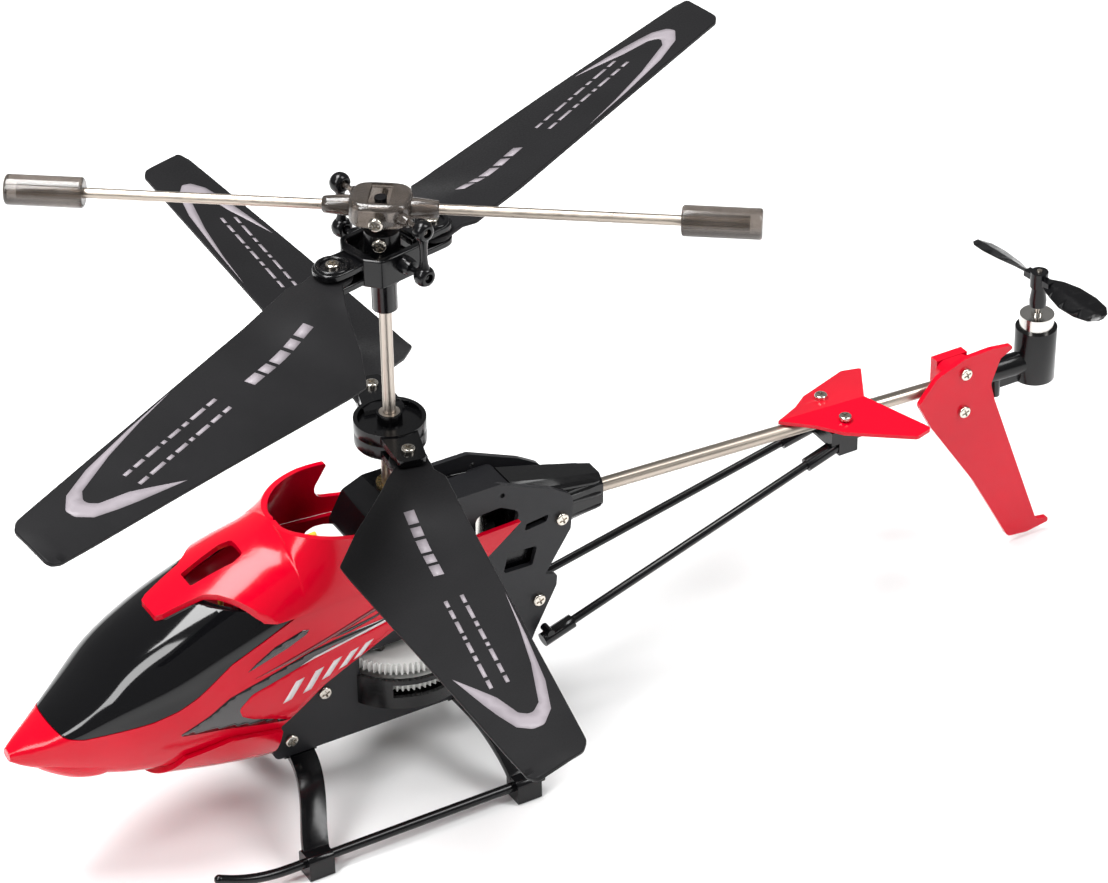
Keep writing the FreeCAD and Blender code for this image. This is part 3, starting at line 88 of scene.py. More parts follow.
def two_tones(tree, source, dark, light, start=0.35, end=0.65):
    ramp = put(tree, "ShaderNodeValToRGB")
    ramp.color_ramp.elements[0].position = start
    ramp.color_ramp.elements[1].position = end
    ramp.color_ramp.elements[0].color = (*dark, 1)
    ramp.color_ramp.elements[1].color = (*light, 1)
    tree.links.new(source, ramp.inputs["Fac"])
    return ramp.outputs["Color"]


def bump(tree, shader, source, strength, distance):
    node = put(tree, "ShaderNodeBump", Strength=strength, Distance=distance)
    tree.links.new(source, node.inputs["Height"])
    tree.links.new(node.outputs["Normal"], shader.inputs["Normal"])


def scaled(colour, by):
    return tuple(min(1.0, c * by) for c in colour)


def plastic(name, colour, rough, grain=900, depth=0.00002, coat=0.0, spread=0.12, ior=1.5, specular=0.5):
    """Moulded plastic with slight flow marks in its colour, an uneven gloss and a fine surface grain."""
    mat, tree, shader = new_material(name)
    cloud = noise(tree, 60, 4)
    fine = noise(tree, grain, 5)
    colours = two_tones(tree, cloud, scaled(colour, 1 - spread), scaled(colour, 1 + spread))
    tree.links.new(colours, shader.inputs["Base Color"])
    tree.links.new(remap(tree, fine, rough * 0.85, rough * 1.15), shader.inputs["Roughness"])
    bump(tree, shader, fine, 0.25, depth)
    shader.inputs["IOR"].default_value = ior
    shader.inputs["Specular IOR Level"].default_value = specular
    shader.inputs["Coat Weight"].default_value = coat
    shader.inputs["Coat Roughness"].default_value = 0.04
    return mat


def metal(name, colour, rough, stretch=(1, 1, 1), grain=1500, spread=0.08, depth=0.000008):
    """Metal with fine drawn or turned marks along one direction and a slightly uneven tint."""
    mat, tree, shader = new_material(name)
    marks = noise(tree, grain, 4, stretch)
    cloud = noise(tree, 90, 3)
    tint = two_tones(tree, cloud, scaled(colour, 1 - spread), scaled(colour, 1 + spread))
    tree.links.new(tint, shader.inputs["Base Color"])
    tree.links.new(remap(tree, marks, rough * 0.7, rough * 1.3), shader.inputs["Roughness"])
    bump(tree, shader, marks, 0.3, depth)
    shader.inputs["Metallic"].default_value = 1.0
    return mat


RED = (0.52, 0.0, 0.013)
MATERIALS = {
    "red_shell": plastic("red_gloss", RED, 0.16, 700, 0.000006, 0.12, 0.05, 1.5, 0.22),
    "black_canopy": plastic("black_gloss", (0.0025, 0.0025, 0.003), 0.07, 500, 0.000003, spread=0.1, ior=1.45,
                            specular=0.45),
    "frame_plate": plastic("plate_satin", (0.012, 0.012, 0.014), 0.4, 2600, specular=0.28),
    "black_plastic": plastic("black_satin", (0.0025, 0.0025, 0.003), 0.2, 1800, 0.00001, specular=0.33),
    "blade_plastic": plastic("blade_matte", (0.0085, 0.0083, 0.009), 0.5, 3200, specular=0.15),
    "white_nylon": plastic("white_nylon", (0.78, 0.78, 0.76), 0.4, 1500),
    "brass": metal("turned_brass", (0.72, 0.52, 0.24), 0.28, (1, 1, 8)),
    "bright_screws": metal("screw_plate", (0.6, 0.56, 0.5), 0.22, (1, 1, 1), 2500, 0.08, 0.000003),
    "shaft_steel": metal("ground_steel", (0.48, 0.43, 0.38), 0.34, (1, 1, 0.05), 900, 0.05, 0.0000006),
    "boom_aluminium": metal("drawn_tube", (0.44, 0.385, 0.33), 0.38, (0.05, 1, 1), 900, 0.05, 0.0000006),
    "motor_can": metal("drawn_can", (0.62, 0.60, 0.57), 0.2, (1, 1, 0.1), 1200, 0.08, 0.000003),
    "battery_wrap": plastic("shrink_film", (0.03, 0.07, 0.32), 0.25, 600, 0.00005, 0.3),
    "board_green": plastic("solder_mask", (0.01, 0.12, 0.04), 0.3, 2400),
    "chip_black": plastic("chip_matte", (0.02, 0.02, 0.02), 0.5, 2400),
    "wire_purple": plastic("purple_insulation", (0.13, 0.045, 0.07), 0.4, 2400),
    "wire_yellow": plastic("yellow_insulation", (0.8, 0.5, 0.04), 0.4, 2400),
}


def smoke(name):
    """Clear smoky plastic with faint flow lines."""
    mat, tree, shader = new_material(name)
    cloud = noise(tree, 300, 3)
    tint = two_tones(tree, cloud, (0.16, 0.135, 0.115), (0.2, 0.17, 0.15))
    tree.links.new(tint, shader.inputs["Base Color"])
    tree.links.new(remap(tree, cloud, 0.1, 0.22), shader.inputs["Roughness"])
    bump(tree, shader, cloud, 0.15, 0.000008)
    shader.inputs["Transmission Weight"].default_value = 0.82
    shader.inputs["IOR"].default_value = 1.49
    return mat


MATERIALS["smoke_plastic"] = smoke("smoke_clear")
PRINT = plastic("print_grey", (0.24, 0.215, 0.235), 0.55, 2600, 0.00001)
PRINT_BLACK = plastic("print_black", (0.012, 0.010, 0.011), 0.16, 900, 0.000006, 0.6)
PRINT_DARK_RED = plastic("print_dark_red", (0.16, 0.012, 0.016), 0.2, 900, 0.000006, 0.6)
PRINT_SILVER = plastic("print_silver", (0.62, 0.56, 0.57), 0.3, 900, 0.000006, 0.5)


# ---- mesh helpers, all in millimetres ----

def piece(name, mesh, material, body, replaces=()):
    thing = bpy.data.objects.new(name, mesh)
    bpy.context.scene.collection.objects.link(thing)
    mesh.materials.clear()
    mesh.materials.append(material)
    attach(thing, body)
    if replaces:
        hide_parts(*replaces)
    return thing


def to_mesh(name, verts, faces):
    mesh = bpy.data.meshes.new(name)
    mesh.from_pydata([tuple(Vector(v) * MM) for v in verts], [], faces)
    mesh.update()
    return mesh


def tidy(mesh, weld=0.0005):
    """Welds doubles and turns all faces outwards."""
    work = bmesh.new()
    work.from_mesh(mesh)
    bmesh.ops.remove_doubles(work, verts=work.verts, dist=weld * MM)
    bmesh.ops.recalc_face_normals(work, faces=work.faces)
    work.to_mesh(mesh)
    work.free()
    return mesh


def settle(thing):
    """Applies every modifier, so that the mesh is the final one."""
    graph = bpy.context.evaluated_depsgraph_get()
    graph.update()
    final = bpy.data.meshes.new_from_object(thing.evaluated_get(graph))
    thing.modifiers.clear()
    thing.data = final
    return thing


def soften(thing, width=0.12, segments=2, angle=35):
    """Rounds the hard edges and shades the rest smoothly."""
    rounding = thing.modifiers.new("round", "BEVEL")
    rounding.width = width * MM
    rounding.segments = segments
    rounding.limit_method = "ANGLE"
    rounding.angle_limit = math.radians(angle)
    rounding.use_clamp_overlap = True
    rounding.harden_normals = False
    return shade(thing, angle)


def shade(thing, angle=35):
    for polygon in thing.data.polygons:
        polygon.use_smooth = True
    thing.data.update()
    with_sharp = bmesh.new()
    with_sharp.from_mesh(thing.data)
    for edge in with_sharp.edges:
        if len(edge.link_faces) == 2:
            edge.smooth = edge.calc_face_angle(0) < math.radians(angle)
    with_sharp.to_mesh(thing.data)
    with_sharp.free()
    return thing


def cutter(outline, low, high, plane="XZ"):
    """A prism for boolean cuts: an outline in one plane pushed along the third axis."""
    count = len(outline)

    def place(a, b, c):
        return (a, c, b) if plane == "XZ" else (a, b, c)

    verts = [place(a, b, low) for a, b in outline] + [place(a, b, high) for a, b in outline]
    faces = [tuple(range(count)), tuple(range(2 * count - 1, count - 1, -1))]
    faces += [(i, (i + 1) % count, (i + 1) % count + count, i + count) for i in range(count)]
    thing = bpy.data.objects.new("cutter", tidy(to_mesh("cutter", verts, faces)))
    bpy.context.scene.collection.objects.link(thing)
    return thing


def prism(name, outline, low, high, body, material, plane="XY", replaces=()):
    """A piece made by pushing an outline along the third axis."""
    blank = cutter(outline, low, high, plane)
    mesh = blank.data
    bpy.data.objects.remove(blank)
    return piece(name, mesh, MATERIALS[material], body, replaces)


def carve(thing, tool, operation):
    step = thing.modifiers.new("carve", "BOOLEAN")
    step.object = tool
    step.operation = operation
    step.solver = "EXACT"
    settle(thing)
    bpy.data.objects.remove(tool)
    return thing


def rounded(corners, steps=5):
    """An outline with arcs at the corners that carry a radius as a third number."""
    out = []
    count = len(corners)
    for i, corner in enumerate(corners):
        here = Vector(corner[:2])
        if len(corner) < 3 or corner[2] <= 0:
            out.append(here)
            continue
        back = Vector(corners[i - 1][:2]) - here
        onward = Vector(corners[(i + 1) % count][:2]) - here
        half = back.angle(onward) / 2
        reach = min(corner[2] / math.tan(half), back.length * 0.49, onward.length * 0.49)
        radius = reach * math.tan(half)
        start, end = here + back.normalized() * reach, here + onward.normalized() * reach
        centre = here + (back.normalized() + onward.normalized()).normalized() * (radius / math.sin(half))
        first, last = start - centre, end - centre
        turn = first.angle_signed(last)
        for k in range(steps + 1):
            share = k / steps
            angle = -turn * share
            out.append(centre + Vector((first.x * math.cos(angle) - first.y * math.sin(angle),
                                        first.x * math.sin(angle) + first.y * math.cos(angle))))
    return [(p.x, p.y) for p in out]


def refine(outline, step):
    """The same outline with no run longer than a step."""
    out = []
    for a, b in zip(outline, outline[1:] + outline[:1]):
        a, b = Vector(a[:2]), Vector(b[:2])
        parts = max(1, math.ceil((b - a).length / step))
        out += [tuple(a.lerp(b, k / parts)) for k in range(parts)]
    return out


def inside(point, outline):
    x, y = point
    hit = False
    for (x0, y0), (x1, y1) in zip(outline, outline[1:] + outline[:1]):
        if (y0 > y) != (y1 > y) and x < (x1 - x0) * (y - y0) / (y1 - y0) + x0:
            hit = not hit
    return hit


def edge_distance(point, outline):
    best = 1e9
    p = Vector(point)
    for a, b in zip(outline, outline[1:] + outline[:1]):
        a, b = Vector(a), Vector(b)
        along = b - a
        t = max(0.0, min(1.0, (p - a).dot(along) / max(along.length_squared, 1e-9)))
        best = min(best, (p - a - along * t).length)
    return best


def patch(name, outline, step, lift):
    """A flat outline filled with small triangles and lifted onto a surface by a function."""
    rim = refine(outline, step)
    xs, ys = [p[0] for p in rim], [p[1] for p in rim]
    points = [Vector(p) for p in rim]
    rows = int((max(ys) - min(ys)) / (step * 0.87)) + 1
    for row in range(rows):
        y = min(ys) + row * step * 0.87
        x = min(xs) + (step / 2 if row % 2 else 0)
        while x < max(xs):
            if inside((x, y), rim) and edge_distance((x, y), rim) > step * 0.45:
                points.append(Vector((x, y)))
            x += step
    ring = list(range(len(rim)))
    found = delaunay_2d_cdt(points, [], [ring], 1, 1e-6)
    verts = [lift(p.x, p.y) for p in found[0]]
    return to_mesh(name, verts, [tuple(face) for face in found[2]])


def ease(x, low, high):
    """0 below low, 1 above high and a smooth step between."""
    t = max(0.0, min(1.0, (x - low) / (high - low)))
    return t * t * (3 - 2 * t)


def along(stations, x, column):
    """A smooth curve through a column of stations that are sorted by their first number."""
    keys = [s[0] for s in stations]
    rising = keys[0] < keys[-1]
    rows = stations if rising else stations[::-1]
    if x <= rows[0][0]:
        return rows[0][column]
    if x >= rows[-1][0]:
        return rows[-1][column]
    i = next(k for k in range(len(rows) - 1) if rows[k][0] <= x <= rows[k + 1][0])
    x0, x1 = rows[i][0], rows[i + 1][0]
    y0, y1 = rows[i][column], rows[i + 1][column]

    def slope(k):
        if k == 0 or k == len(rows) - 1:
            a, b = (0, 1) if k == 0 else (k - 1, k)
        else:
            a, b = k - 1, k + 1
        return (rows[b][column] - rows[a][column]) / (rows[b][0] - rows[a][0])

    t = (x - x0) / (x1 - x0)
    m0, m1 = slope(i) * (x1 - x0), slope(i + 1) * (x1 - x0)
    return ((2 * t ** 3 - 3 * t ** 2 + 1) * y0 + (t ** 3 - 2 * t ** 2 + t) * m0
            + (3 * t ** 2 - 2 * t ** 3) * y1 + (t ** 3 - t ** 2) * m1)


# ---- the carried-over CAD nodes ----

SLOT_OF = {s["node"]: s["material_slot"] for s in frame["record"]["subparts"]}
EDGE_ROUNDING = {
    "left_side_frame": 0.18, "right_side_frame": 0.18, "blade_yoke": 0.25, "lower_hub_cap": 0.2,
    "lower_hub_base": 0.2, "skid_struts": 0.3, "boom_holder": 0.35,
    "bearing_blocks": 0.3, "link_1": 0.25, "link_2": 0.25, "tail_motor_housing": 0.3,
    "rotor_head_core": 0.15, "fin_saddle": 0.2, "circuit_board": 0.05, "board_components": 0.08,
}
for name, node in NODES.items():
    node.data.materials.clear()
    node.data.materials.append(MATERIALS[SLOT_OF[name]])
    smooth = node.modifiers.new("weld", "WELD")
    smooth.merge_threshold = 0.00002
    if name in EDGE_ROUNDING:
        rounding = node.modifiers.new("round", "BEVEL")
        rounding.width = EDGE_ROUNDING[name] * MM
        rounding.segments = 2
        rounding.limit_method = "ANGLE"
        rounding.angle_limit = math.radians(40)


# ---- skin: nose shell, canopy, belly pan and cowl ----

# Each station gives x, half width, lowest z, z of the widest line and highest z of the skin's outer face.
POD = [
    (71.3, 1.3, 25.9, 26.7, 27.9), (69.3, 2.7, 24.6, 27.0, 29.2), (65.6, 4.8, 22.8, 28.4, 31.0),
    (61.0, 7.2, 20.8, 29.9, 34.4), (53.5, 10.4, 18.6, 32.3, 40.9), (45.5, 12.2, 16.9, 35.0, 45.1),
    (37.0, 12.7, 14.6, 38.0, 48.7), (28.0, 12.7, 12.8, 41.0, 51.4), (20.0, 12.3, 12.6, 42.3, 52.5),
    (8.0, 11.0, 14.0, 43.0, 52.3), (-6.0, 9.2, 20.0, 43.5, 52.0), (-21.0, 7.4, 36.0, 44.0, 49.0),
]
POD_FRONT, POD_LENGTH, POD_INNER_FRONT = 71.3, 92.0, 70.6
UPPER_FULLNESS = 0.9
LOWER_FULLNESS = 0.75


def pod_point(x, angle, grow=0.0):
    """A point of the skin's outer form. The angle runs from port over the top."""
    half, low, wide, high = (along(POD, x, c) for c in (1, 2, 3, 4))
    across = math.copysign(abs(math.cos(angle)) ** UPPER_FULLNESS, math.cos(angle))
    rise = math.sin(angle)
    if rise >= 0:
        z = wide + (high + grow - wide) * rise ** UPPER_FULLNESS
    else:
        z = wide - (wide - low + grow) * abs(rise) ** LOWER_FULLNESS
    return Vector((x, (half + grow) * across, z))


def pod_side(x, z):
    """The skin's half width at a place in the side view."""
    half, low, wide, high = (along(POD, x, c) for c in (1, 2, 3, 4))
    if z >= wide:
        rise = min(1.0, (z - wide) / (high - wide)) ** (1 / UPPER_FULLNESS)
    else:
        rise = min(1.0, (wide - z) / (wide - low)) ** (1 / LOWER_FULLNESS)
    return half * max(0.0, 1 - rise * rise) ** (UPPER_FULLNESS / 2)


def skin(name, grow, inset):
    """The whole skin as a closed thin shell on a fine grid."""
    columns, rows = 96, 150
    verts, faces = [], []
    for layer in (0, 1):
        for i in range(rows + 1):
            x = POD_FRONT - POD_LENGTH * (i / rows) ** 1.15
            for j in range(columns):
                point = pod_point(x, 2 * math.pi * j / columns, grow - inset * layer)
                if layer:
                    point.x = min(point.x, POD_INNER_FRONT)
                verts.append(point)
    span = (rows + 1) * columns
    for layer in (0, 1):
        for i in range(rows):
            for j in range(columns):
                a = layer * span + i * columns + j
                b = layer * span + i * columns + (j + 1) % columns
                quad = (a, b, b + columns, a + columns)
                faces.append(quad if layer else quad[::-1])
    faces.append(tuple(range(columns)))
    faces.append(tuple(span + j for j in range(columns))[::-1])
    for j in range(columns):
        a, b = rows * columns + j, rows * columns + (j + 1) % columns
        faces.append((a, b, b + span, a + span))
    return to_mesh(name, verts, faces)


NOSE_REGION = [
    (76.0, 36.0), (65.3, 36.0), (64.6, 31.8, 0.8), (63.2, 30.5, 1.5), (60.6, 30.4, 3), (55.4, 31.5, 8),
    (50.0, 32.4, 8), (45.8, 33.6, 8), (42.4, 35.3, 8), (36.3, 39.6, 6), (23.0, 44.9, 4), (-11.0, 44.9),
    (-19.8, 44.4), (-13.0, 40.1, 8), (6.3, 33.7, 12), (12.4, 31.5), (16.3, 30.0, 8), (20.0, 28.3, 6),
    (23.3, 25.6), (27.4, 22.2), (27.4, 19.4), (45.0, 21.0), (50.0, 16.0), (76.0, 10.0),
]
CANOPY_REGION = [
    (65.15, 36.0), (65.15, 60.0), (41.5, 60.0), (41.5, 48.0), (25.2, 46.0), (25.2, 44.3), (36.3, 39.75, 6),
    (42.4, 35.45, 8), (45.8, 33.75, 8), (50.0, 32.55, 8), (55.4, 31.65, 8), (60.6, 30.55, 3),
    (63.15, 30.65, 1.5), (64.45, 31.9, 0.8),
]
BELLY_REGION = [(27.6, 8.0), (27.6, 21.9), (37.0, 24.2), (45.0, 23.0), (49.9, 15.9), (49.9, 8.0)]


def skin_piece(name, region, material, grow, inset, node):
    thing = piece(name, tidy(skin(name, grow, inset), 0.002), material, "airframe", [node])
    carve(thing, cutter(rounded(region), -30, 30), "INTERSECT")
    return soften(thing, 0.14, 2, 40)


skin_piece("nose_shell_skin", NOSE_REGION, MATERIALS["red_shell"], 0.0, 0.9, "nose_shell")
canopy = skin_piece("canopy_skin", CANOPY_REGION, MATERIALS["black_canopy"], -0.08, 0.8, "canopy")
CANOPY_OPENING = [(40.0, -3.4), (40.0, 3.4), (26.0, 4.4), (26.0, -4.4)]
carve(canopy, cutter(rounded(CANOPY_OPENING), 40, 70, "XY"), "DIFFERENCE")
skin_piece("belly_pan_skin", BELLY_REGION, MATERIALS["red_shell"], 0.95, 1.75, "belly_pan")

# The cowl is a tongue over the canopy that flares up into an open ring.
RING_X, RING_LENGTH, RING_WIDTH = 8.0, 14.6, 11.8
COWL_GROW, COWL_EDGE = 0.95, 44.6
SPINE = [(-10.0, 55.9), (16.0, 55.9), (22.4, 55.7), (23.4, 54.9), (24.6, 54.0), (26.2, 53.3), (29.0, 52.5),
         (34.0, 50.9), (38.0, 49.25), (42.0, 47.6), (47.0, 45.3)]
COWL_SIDE = [(47.5, 44.9), (47.5, 62.0), (23.6, 62.0), (22.6, 55.4), (18.0, 55.35, 20), (12.0, 55.1, 8),
             (6.4, 54.6, 0.4), (10.3, 48.6, 2.0), (4.5, 47.7, 4), (-8.0, 47.3), (-11.0, 44.9)]
COWL_HALF_PLAN = [(44.9, 2.5, 0.6), (43.8, 3.2, 1), (37.2, 4.8, 1.6), (35.4, 6.3, 2), (31.2, 11.0, 4),
                  (28.0, 13.2, 3), (23.0, 15.0), (23.0, 17.0), (-12.0, 17.0)]
COWL_PLAN = [(x, -y, *r) for x, y, *r in COWL_HALF_PLAN[::-1]] + COWL_HALF_PLAN
COWL_SLOT = [(38.0, -1.9, 0.4), (38.0, 1.9, 0.4), (30.6, 2.8, 0.8), (28.6, 2.2, 0.8), (28.6, -2.2, 0.8),
             (30.6, -2.8, 0.8)]


def cowl_row(x, count):
    """One cross line of the cowl, from the lower edge to the rim of the ring or to the middle."""
    half, wide, high = (along(POD, x, c) for c in (1, 3, 4))
    half, high = half + COWL_GROW, high + COWL_GROW
    rise = max(0.0, min(0.95, (COWL_EDGE - wide) / (high - wide)))
    first = math.asin(rise ** (1 / UPPER_FULLNESS))
    in_ring = x < RING_X + RING_LENGTH
    reach = RING_WIDTH * math.sqrt(max(0.0, 1 - ((x - RING_X) / RING_LENGTH) ** 2)) if in_ring else 0.0
    if x < RING_X:
        reach = RING_WIDTH
    last = math.acos(min(math.cos(math.radians(28)), (reach / half) ** (1 / UPPER_FULLNESS)))
    flare = ease(x, -3.0, 7.0)
    top = along(SPINE[::-1], x, 1)
    end = pod_point(x, last, COWL_GROW)
    shift = Vector((0, (reach - end.y) * flare, (top - end.z) * flare))
    row = []
    for i in range(count + 1):
        share = i / count
        point = pod_point(x, first + (last - first) * share, COWL_GROW)
        pull = share ** (1.7 if in_ring else 1.7 + (x - RING_X - RING_LENGTH) * 0.25)
        row.append(point + Vector((0, shift.y * share ** 1.5, shift.z * pull)))
    return row


def cowl():
    xs = [47.0 - 0.6 * i for i in range(41)]
    xs += [RING_X + RING_LENGTH * math.cos(math.radians(2.5 * i)) for i in range(37)]
    xs += [RING_X - 0.7 * i for i in range(1, 25)]
    count = 30
    verts, faces = [], []
    for side in (1, -1):
        start = len(verts)
        for x in xs:
            verts += [Vector((p.x, p.y * side, p.z)) for p in cowl_row(x, count)]
        for i in range(len(xs) - 1):
            for j in range(count):
                a = start + i * (count + 1) + j
                quad = (a, a + 1, a + count + 2, a + count + 1)
                faces.append(quad if side > 0 else quad[::-1])
    return to_mesh("upper_cowl_skin", verts, faces)


cowl_skin = piece("upper_cowl_skin", tidy(cowl(), 0.01), MATERIALS["red_shell"], "airframe",
                  ["upper_cowl"])
thick = cowl_skin.modifiers.new("thick", "SOLIDIFY")
thick.thickness = 0.95 * MM
thick.offset = -1
thick.use_even_offset = True
settle(cowl_skin)
carve(cowl_skin, cutter(rounded(COWL_SIDE), -30, 30), "INTERSECT")
carve(cowl_skin, cutter(rounded(COWL_PLAN), 30, 70, "XY"), "INTERSECT")
carve(cowl_skin, cutter(rounded(COWL_SLOT), 40, 70, "XY"), "DIFFERENCE")
soften(cowl_skin, 0.16, 2, 45)


# A shallow bump under the chin, where the shell is thickened for its screw.
CHIN_X, CHIN_LENGTH, CHIN_HEIGHT = 62.0, 5.6, 1.2


def chin():
    verts, faces = [], []
    rows, cols = 28, 32
    for i in range(rows + 1):
        along_x = -1 + 2 * i / rows
        for j in range(cols + 1):
            across = -1 + 2 * j / cols
            angle = -math.pi / 2 + abs(across) * math.radians(62)
            rise = max(0.0, 1 - along_x * along_x) ** 0.7 * max(0.0, 1 - abs(across) ** 3) ** 0.7
            point = pod_point(CHIN_X + CHIN_LENGTH * along_x, angle, -0.25 + CHIN_HEIGHT * rise)
            verts.append(Vector((point.x, math.copysign(point.y, across), point.z)))
    for i in range(rows):
        for j in range(cols):
            a = i * (cols + 1) + j
            faces.append((a, a + cols + 1, a + cols + 2, a + 1))
    return to_mesh("chin_bump", verts, faces)


chin_bump = piece("chin_bump", tidy(chin(), 0.01), MATERIALS["red_shell"], "airframe")
shade(chin_bump, 50)


# ---- printed panels on both sides of the nose ----

def side_panel(name, outline, material, lift):
    """The same thin print on both sides, a little way off the skin."""
    for side, label in ((1, "left"), (-1, "right")):
        mesh = patch(name, rounded(outline), 0.9, lambda x, z: Vector((x, side * (pod_side(x, z) + lift), z)))
        thing = piece(f"{label}_{name}", mesh, material, "airframe")
        depth = thing.modifiers.new("depth", "SOLIDIFY")
        depth.thickness = 0.03 * MM
        shade(thing, 60)


BAND = [
    (46.5, 28.4, 0.3), (40.7, 31.0), (37.2, 33.2), (33.9, 34.1), (30.4, 34.9), (26.2, 35.9), (21.7, 36.9),
    (17.6, 37.2), (13.0, 37.3), (8.8, 37.2), (-2.0, 37.6), (-2.0, 36.4), (6.6, 34.0), (12.5, 31.8),
    (16.4, 30.3), (20.1, 28.6), (26.0, 23.6), (27.4, 23.7), (31.7, 24.9), (37.2, 26.6), (42.0, 27.6),
]
ARROW = [
    (35.6, 30.1, 1.0), (35.0, 28.3, 1.0), (33.0, 26.9, 2), (30.9, 26.0, 2), (26.0, 23.55), (23.5, 25.75),
    (20.15, 28.55), (16.4, 30.2), (12.5, 31.75), (6.5, 33.95), (-2.0, 36.3), (-2.0, 37.0), (7.7, 36.5),
    (11.8, 35.9), (18.0, 36.1), (23.4, 34.8), (29.0, 33.4), (33.2, 32.4, 2),
]
STREAK = [
    (24.3, 34.7), (21.7, 35.55), (17.1, 36.0), (8.5, 36.8), (1.0, 37.5), (1.0, 37.2), (7.7, 36.4),
    (15.9, 35.75), (21.7, 35.15),
]
LEAF = [
    (33.8, 37.2), (32.1, 38.4), (28.7, 40.3), (23.7, 41.6, 0.3), (22.4, 41.3), (22.9, 40.6), (26.6, 39.2),
    (30.2, 38.2),
]
SMALL_LEAF = [(17.9, 37.6), (16.5, 38.1), (10.0, 38.6), (4.0, 39.6), (10.0, 38.1), (14.8, 37.6)]
SHADE = [(32.6, 35.4), (26.0, 36.9), (17.6, 38.6), (8.0, 40.6), (8.0, 39.8), (17.0, 38.0), (26.0, 36.2)]
# Each bar gives its lower front x, its lower z and its upper z.
BARS = ((27.6, 28.0, 31.8), (23.9, 28.6, 32.4), (20.4, 29.9, 33.0), (17.1, 30.7, 33.4), (14.2, 31.4, 33.8))
side_panel("side_band", BAND, PRINT_BLACK, 0.02)
side_panel("side_arrow", ARROW, MATERIALS["red_shell"], 0.05)
side_panel("side_streak", STREAK, PRINT_SILVER, 0.08)
for i, (start, low, high) in enumerate(BARS):
    leaning = [(start, low), (start - 2.4, high), (start - 4.0, high + 0.2), (start - 1.6, low + 0.3)]
    side_panel(f"side_bar_{i}", leaning, PRINT_SILVER, 0.08)
side_panel("side_leaf", LEAF, PRINT_BLACK, 0.02)
side_panel("side_leaf_small", SMALL_LEAF, PRINT_BLACK, 0.02)
side_panel("side_shade", SHADE, PRINT_DARK_RED, 0.02)


# ---- rotor blades ----

BLADE_MID = [
    (14.6, -4.4, 0.0, 7.2, -0.7), (20.0, -4.4, 0.0, 11.0, -3.0), (27.9, -4.4, -0.1, 16.2, -5.7),
    (33.5, -4.4, 0.1, 15.4, -5.3), (60.0, -4.3, 0.9, 11.4, -2.7), (88.0, -4.2, 1.7, 7.2, -0.3),
    (91.6, -4.0, 1.7, 6.7, 0.0), (93.6, -2.4, 1.5, 6.3, 0.2), (96.4, 3.0, 0.7, 5.6, 0.4),
]
PIVOT = 10.2
BLADE_PLAN = [
    (14.4, -3.2, 1.0), (16.6, -4.4, 2.0), (91.0, -4.25, 2.4), (92.9, -3.2, 2.0), (96.6, 5.0, 1.0),
    (94.7, 6.1, 1.5), (88.0, 7.2), (55.3, 12.2), (33.5, 15.5), (27.7, 16.3, 0.9), (22.5, 12.3), (18.5, 8.2),
    (15.6, 5.6), (11.8, 2.77),
] + [(PIVOT + 3.2 * math.cos(math.radians(a)), 3.2 * math.sin(math.radians(a))) for a in range(75, 290, 15)]
BLADE_HALF = 0.4
TIP_RADIUS = 96.4


def blade_height(r, lat):
    """The height of the blade's middle surface over the pivot plane."""
    r = min(r, TIP_RADIUS)
    lead, lead_z, trail, trail_z = (along(BLADE_MID, max(r, 14.6), c) for c in (1, 2, 3, 4))
    share = max(0.0, min(1.0, (lat - lead) / (trail - lead)))
    even = lead_z + (trail_z - lead_z) * share + 0.55 * share * (1 - share) * 4 * ease(r, 22, 40)
    crease = 2.4 + (r - 14.6) * 0.05
    fall = max(0.0, min(1.0, (lat - crease) / max(1.0, trail - crease)))
    folded = trail_z * fall ** 1.1
    height = folded + (even - folded) * ease(r, 20.0, 36.0)
    return height * ease(r, 12.0, 17.0)


def blade_placer(hub, angle, plane, handed):
    """Takes a place on the blade, out from the shaft and across, to a point of the model."""
    pivot = Vector((PIVOT * math.cos(math.radians(hub)), PIVOT * math.sin(math.radians(hub)), plane))
    out = Vector((math.cos(math.radians(angle)), math.sin(math.radians(angle)), 0))
    side = Vector((-out.y, out.x, 0)) * handed

    def place(r, lat, lift=0.0):
        return pivot + out * (r - PIVOT) + side * lat + Vector((0, 0, blade_height(r, lat) + lift))

    return place


STRIPE_PLAN = [
    (51.0, -3.9), (63.0, -3.6), (75.0, -2.9), (82.0, -1.6), (85.2, 0.4, 1), (85.4, 2.2, 1), (83.6, 4.2),
    (79.5, 5.7), (75.9, 6.8), (66.8, 9.2), (75.3, 4.7), (80.5, 3.0, 1), (82.0, 1.3, 1), (79.7, -0.4),
    (70.0, -2.2), (60.0, -3.3),
]


def bar(start, end, low, high, lean=0.0):
    return [(start, low), (end, low), (end + lean, high), (start + lean, high)]


def dashes(start, low, high, lengths, gap, lean=0.0):
    out = []
    for length in lengths:
        out.append(bar(start, start + length, low, high, lean))
        start += length + gap
    return out


def print_on(name, outline, place, body, step=1.4):
    mesh = patch(name, rounded(outline), step, lambda r, lat: place(r, lat, BLADE_HALF * 1.05 + 0.04))
    thing = piece(name, mesh, PRINT, body)
    depth = thing.modifiers.new("depth", "SOLIDIFY")
    depth.thickness = 0.03 * MM
    return shade(thing, 60)


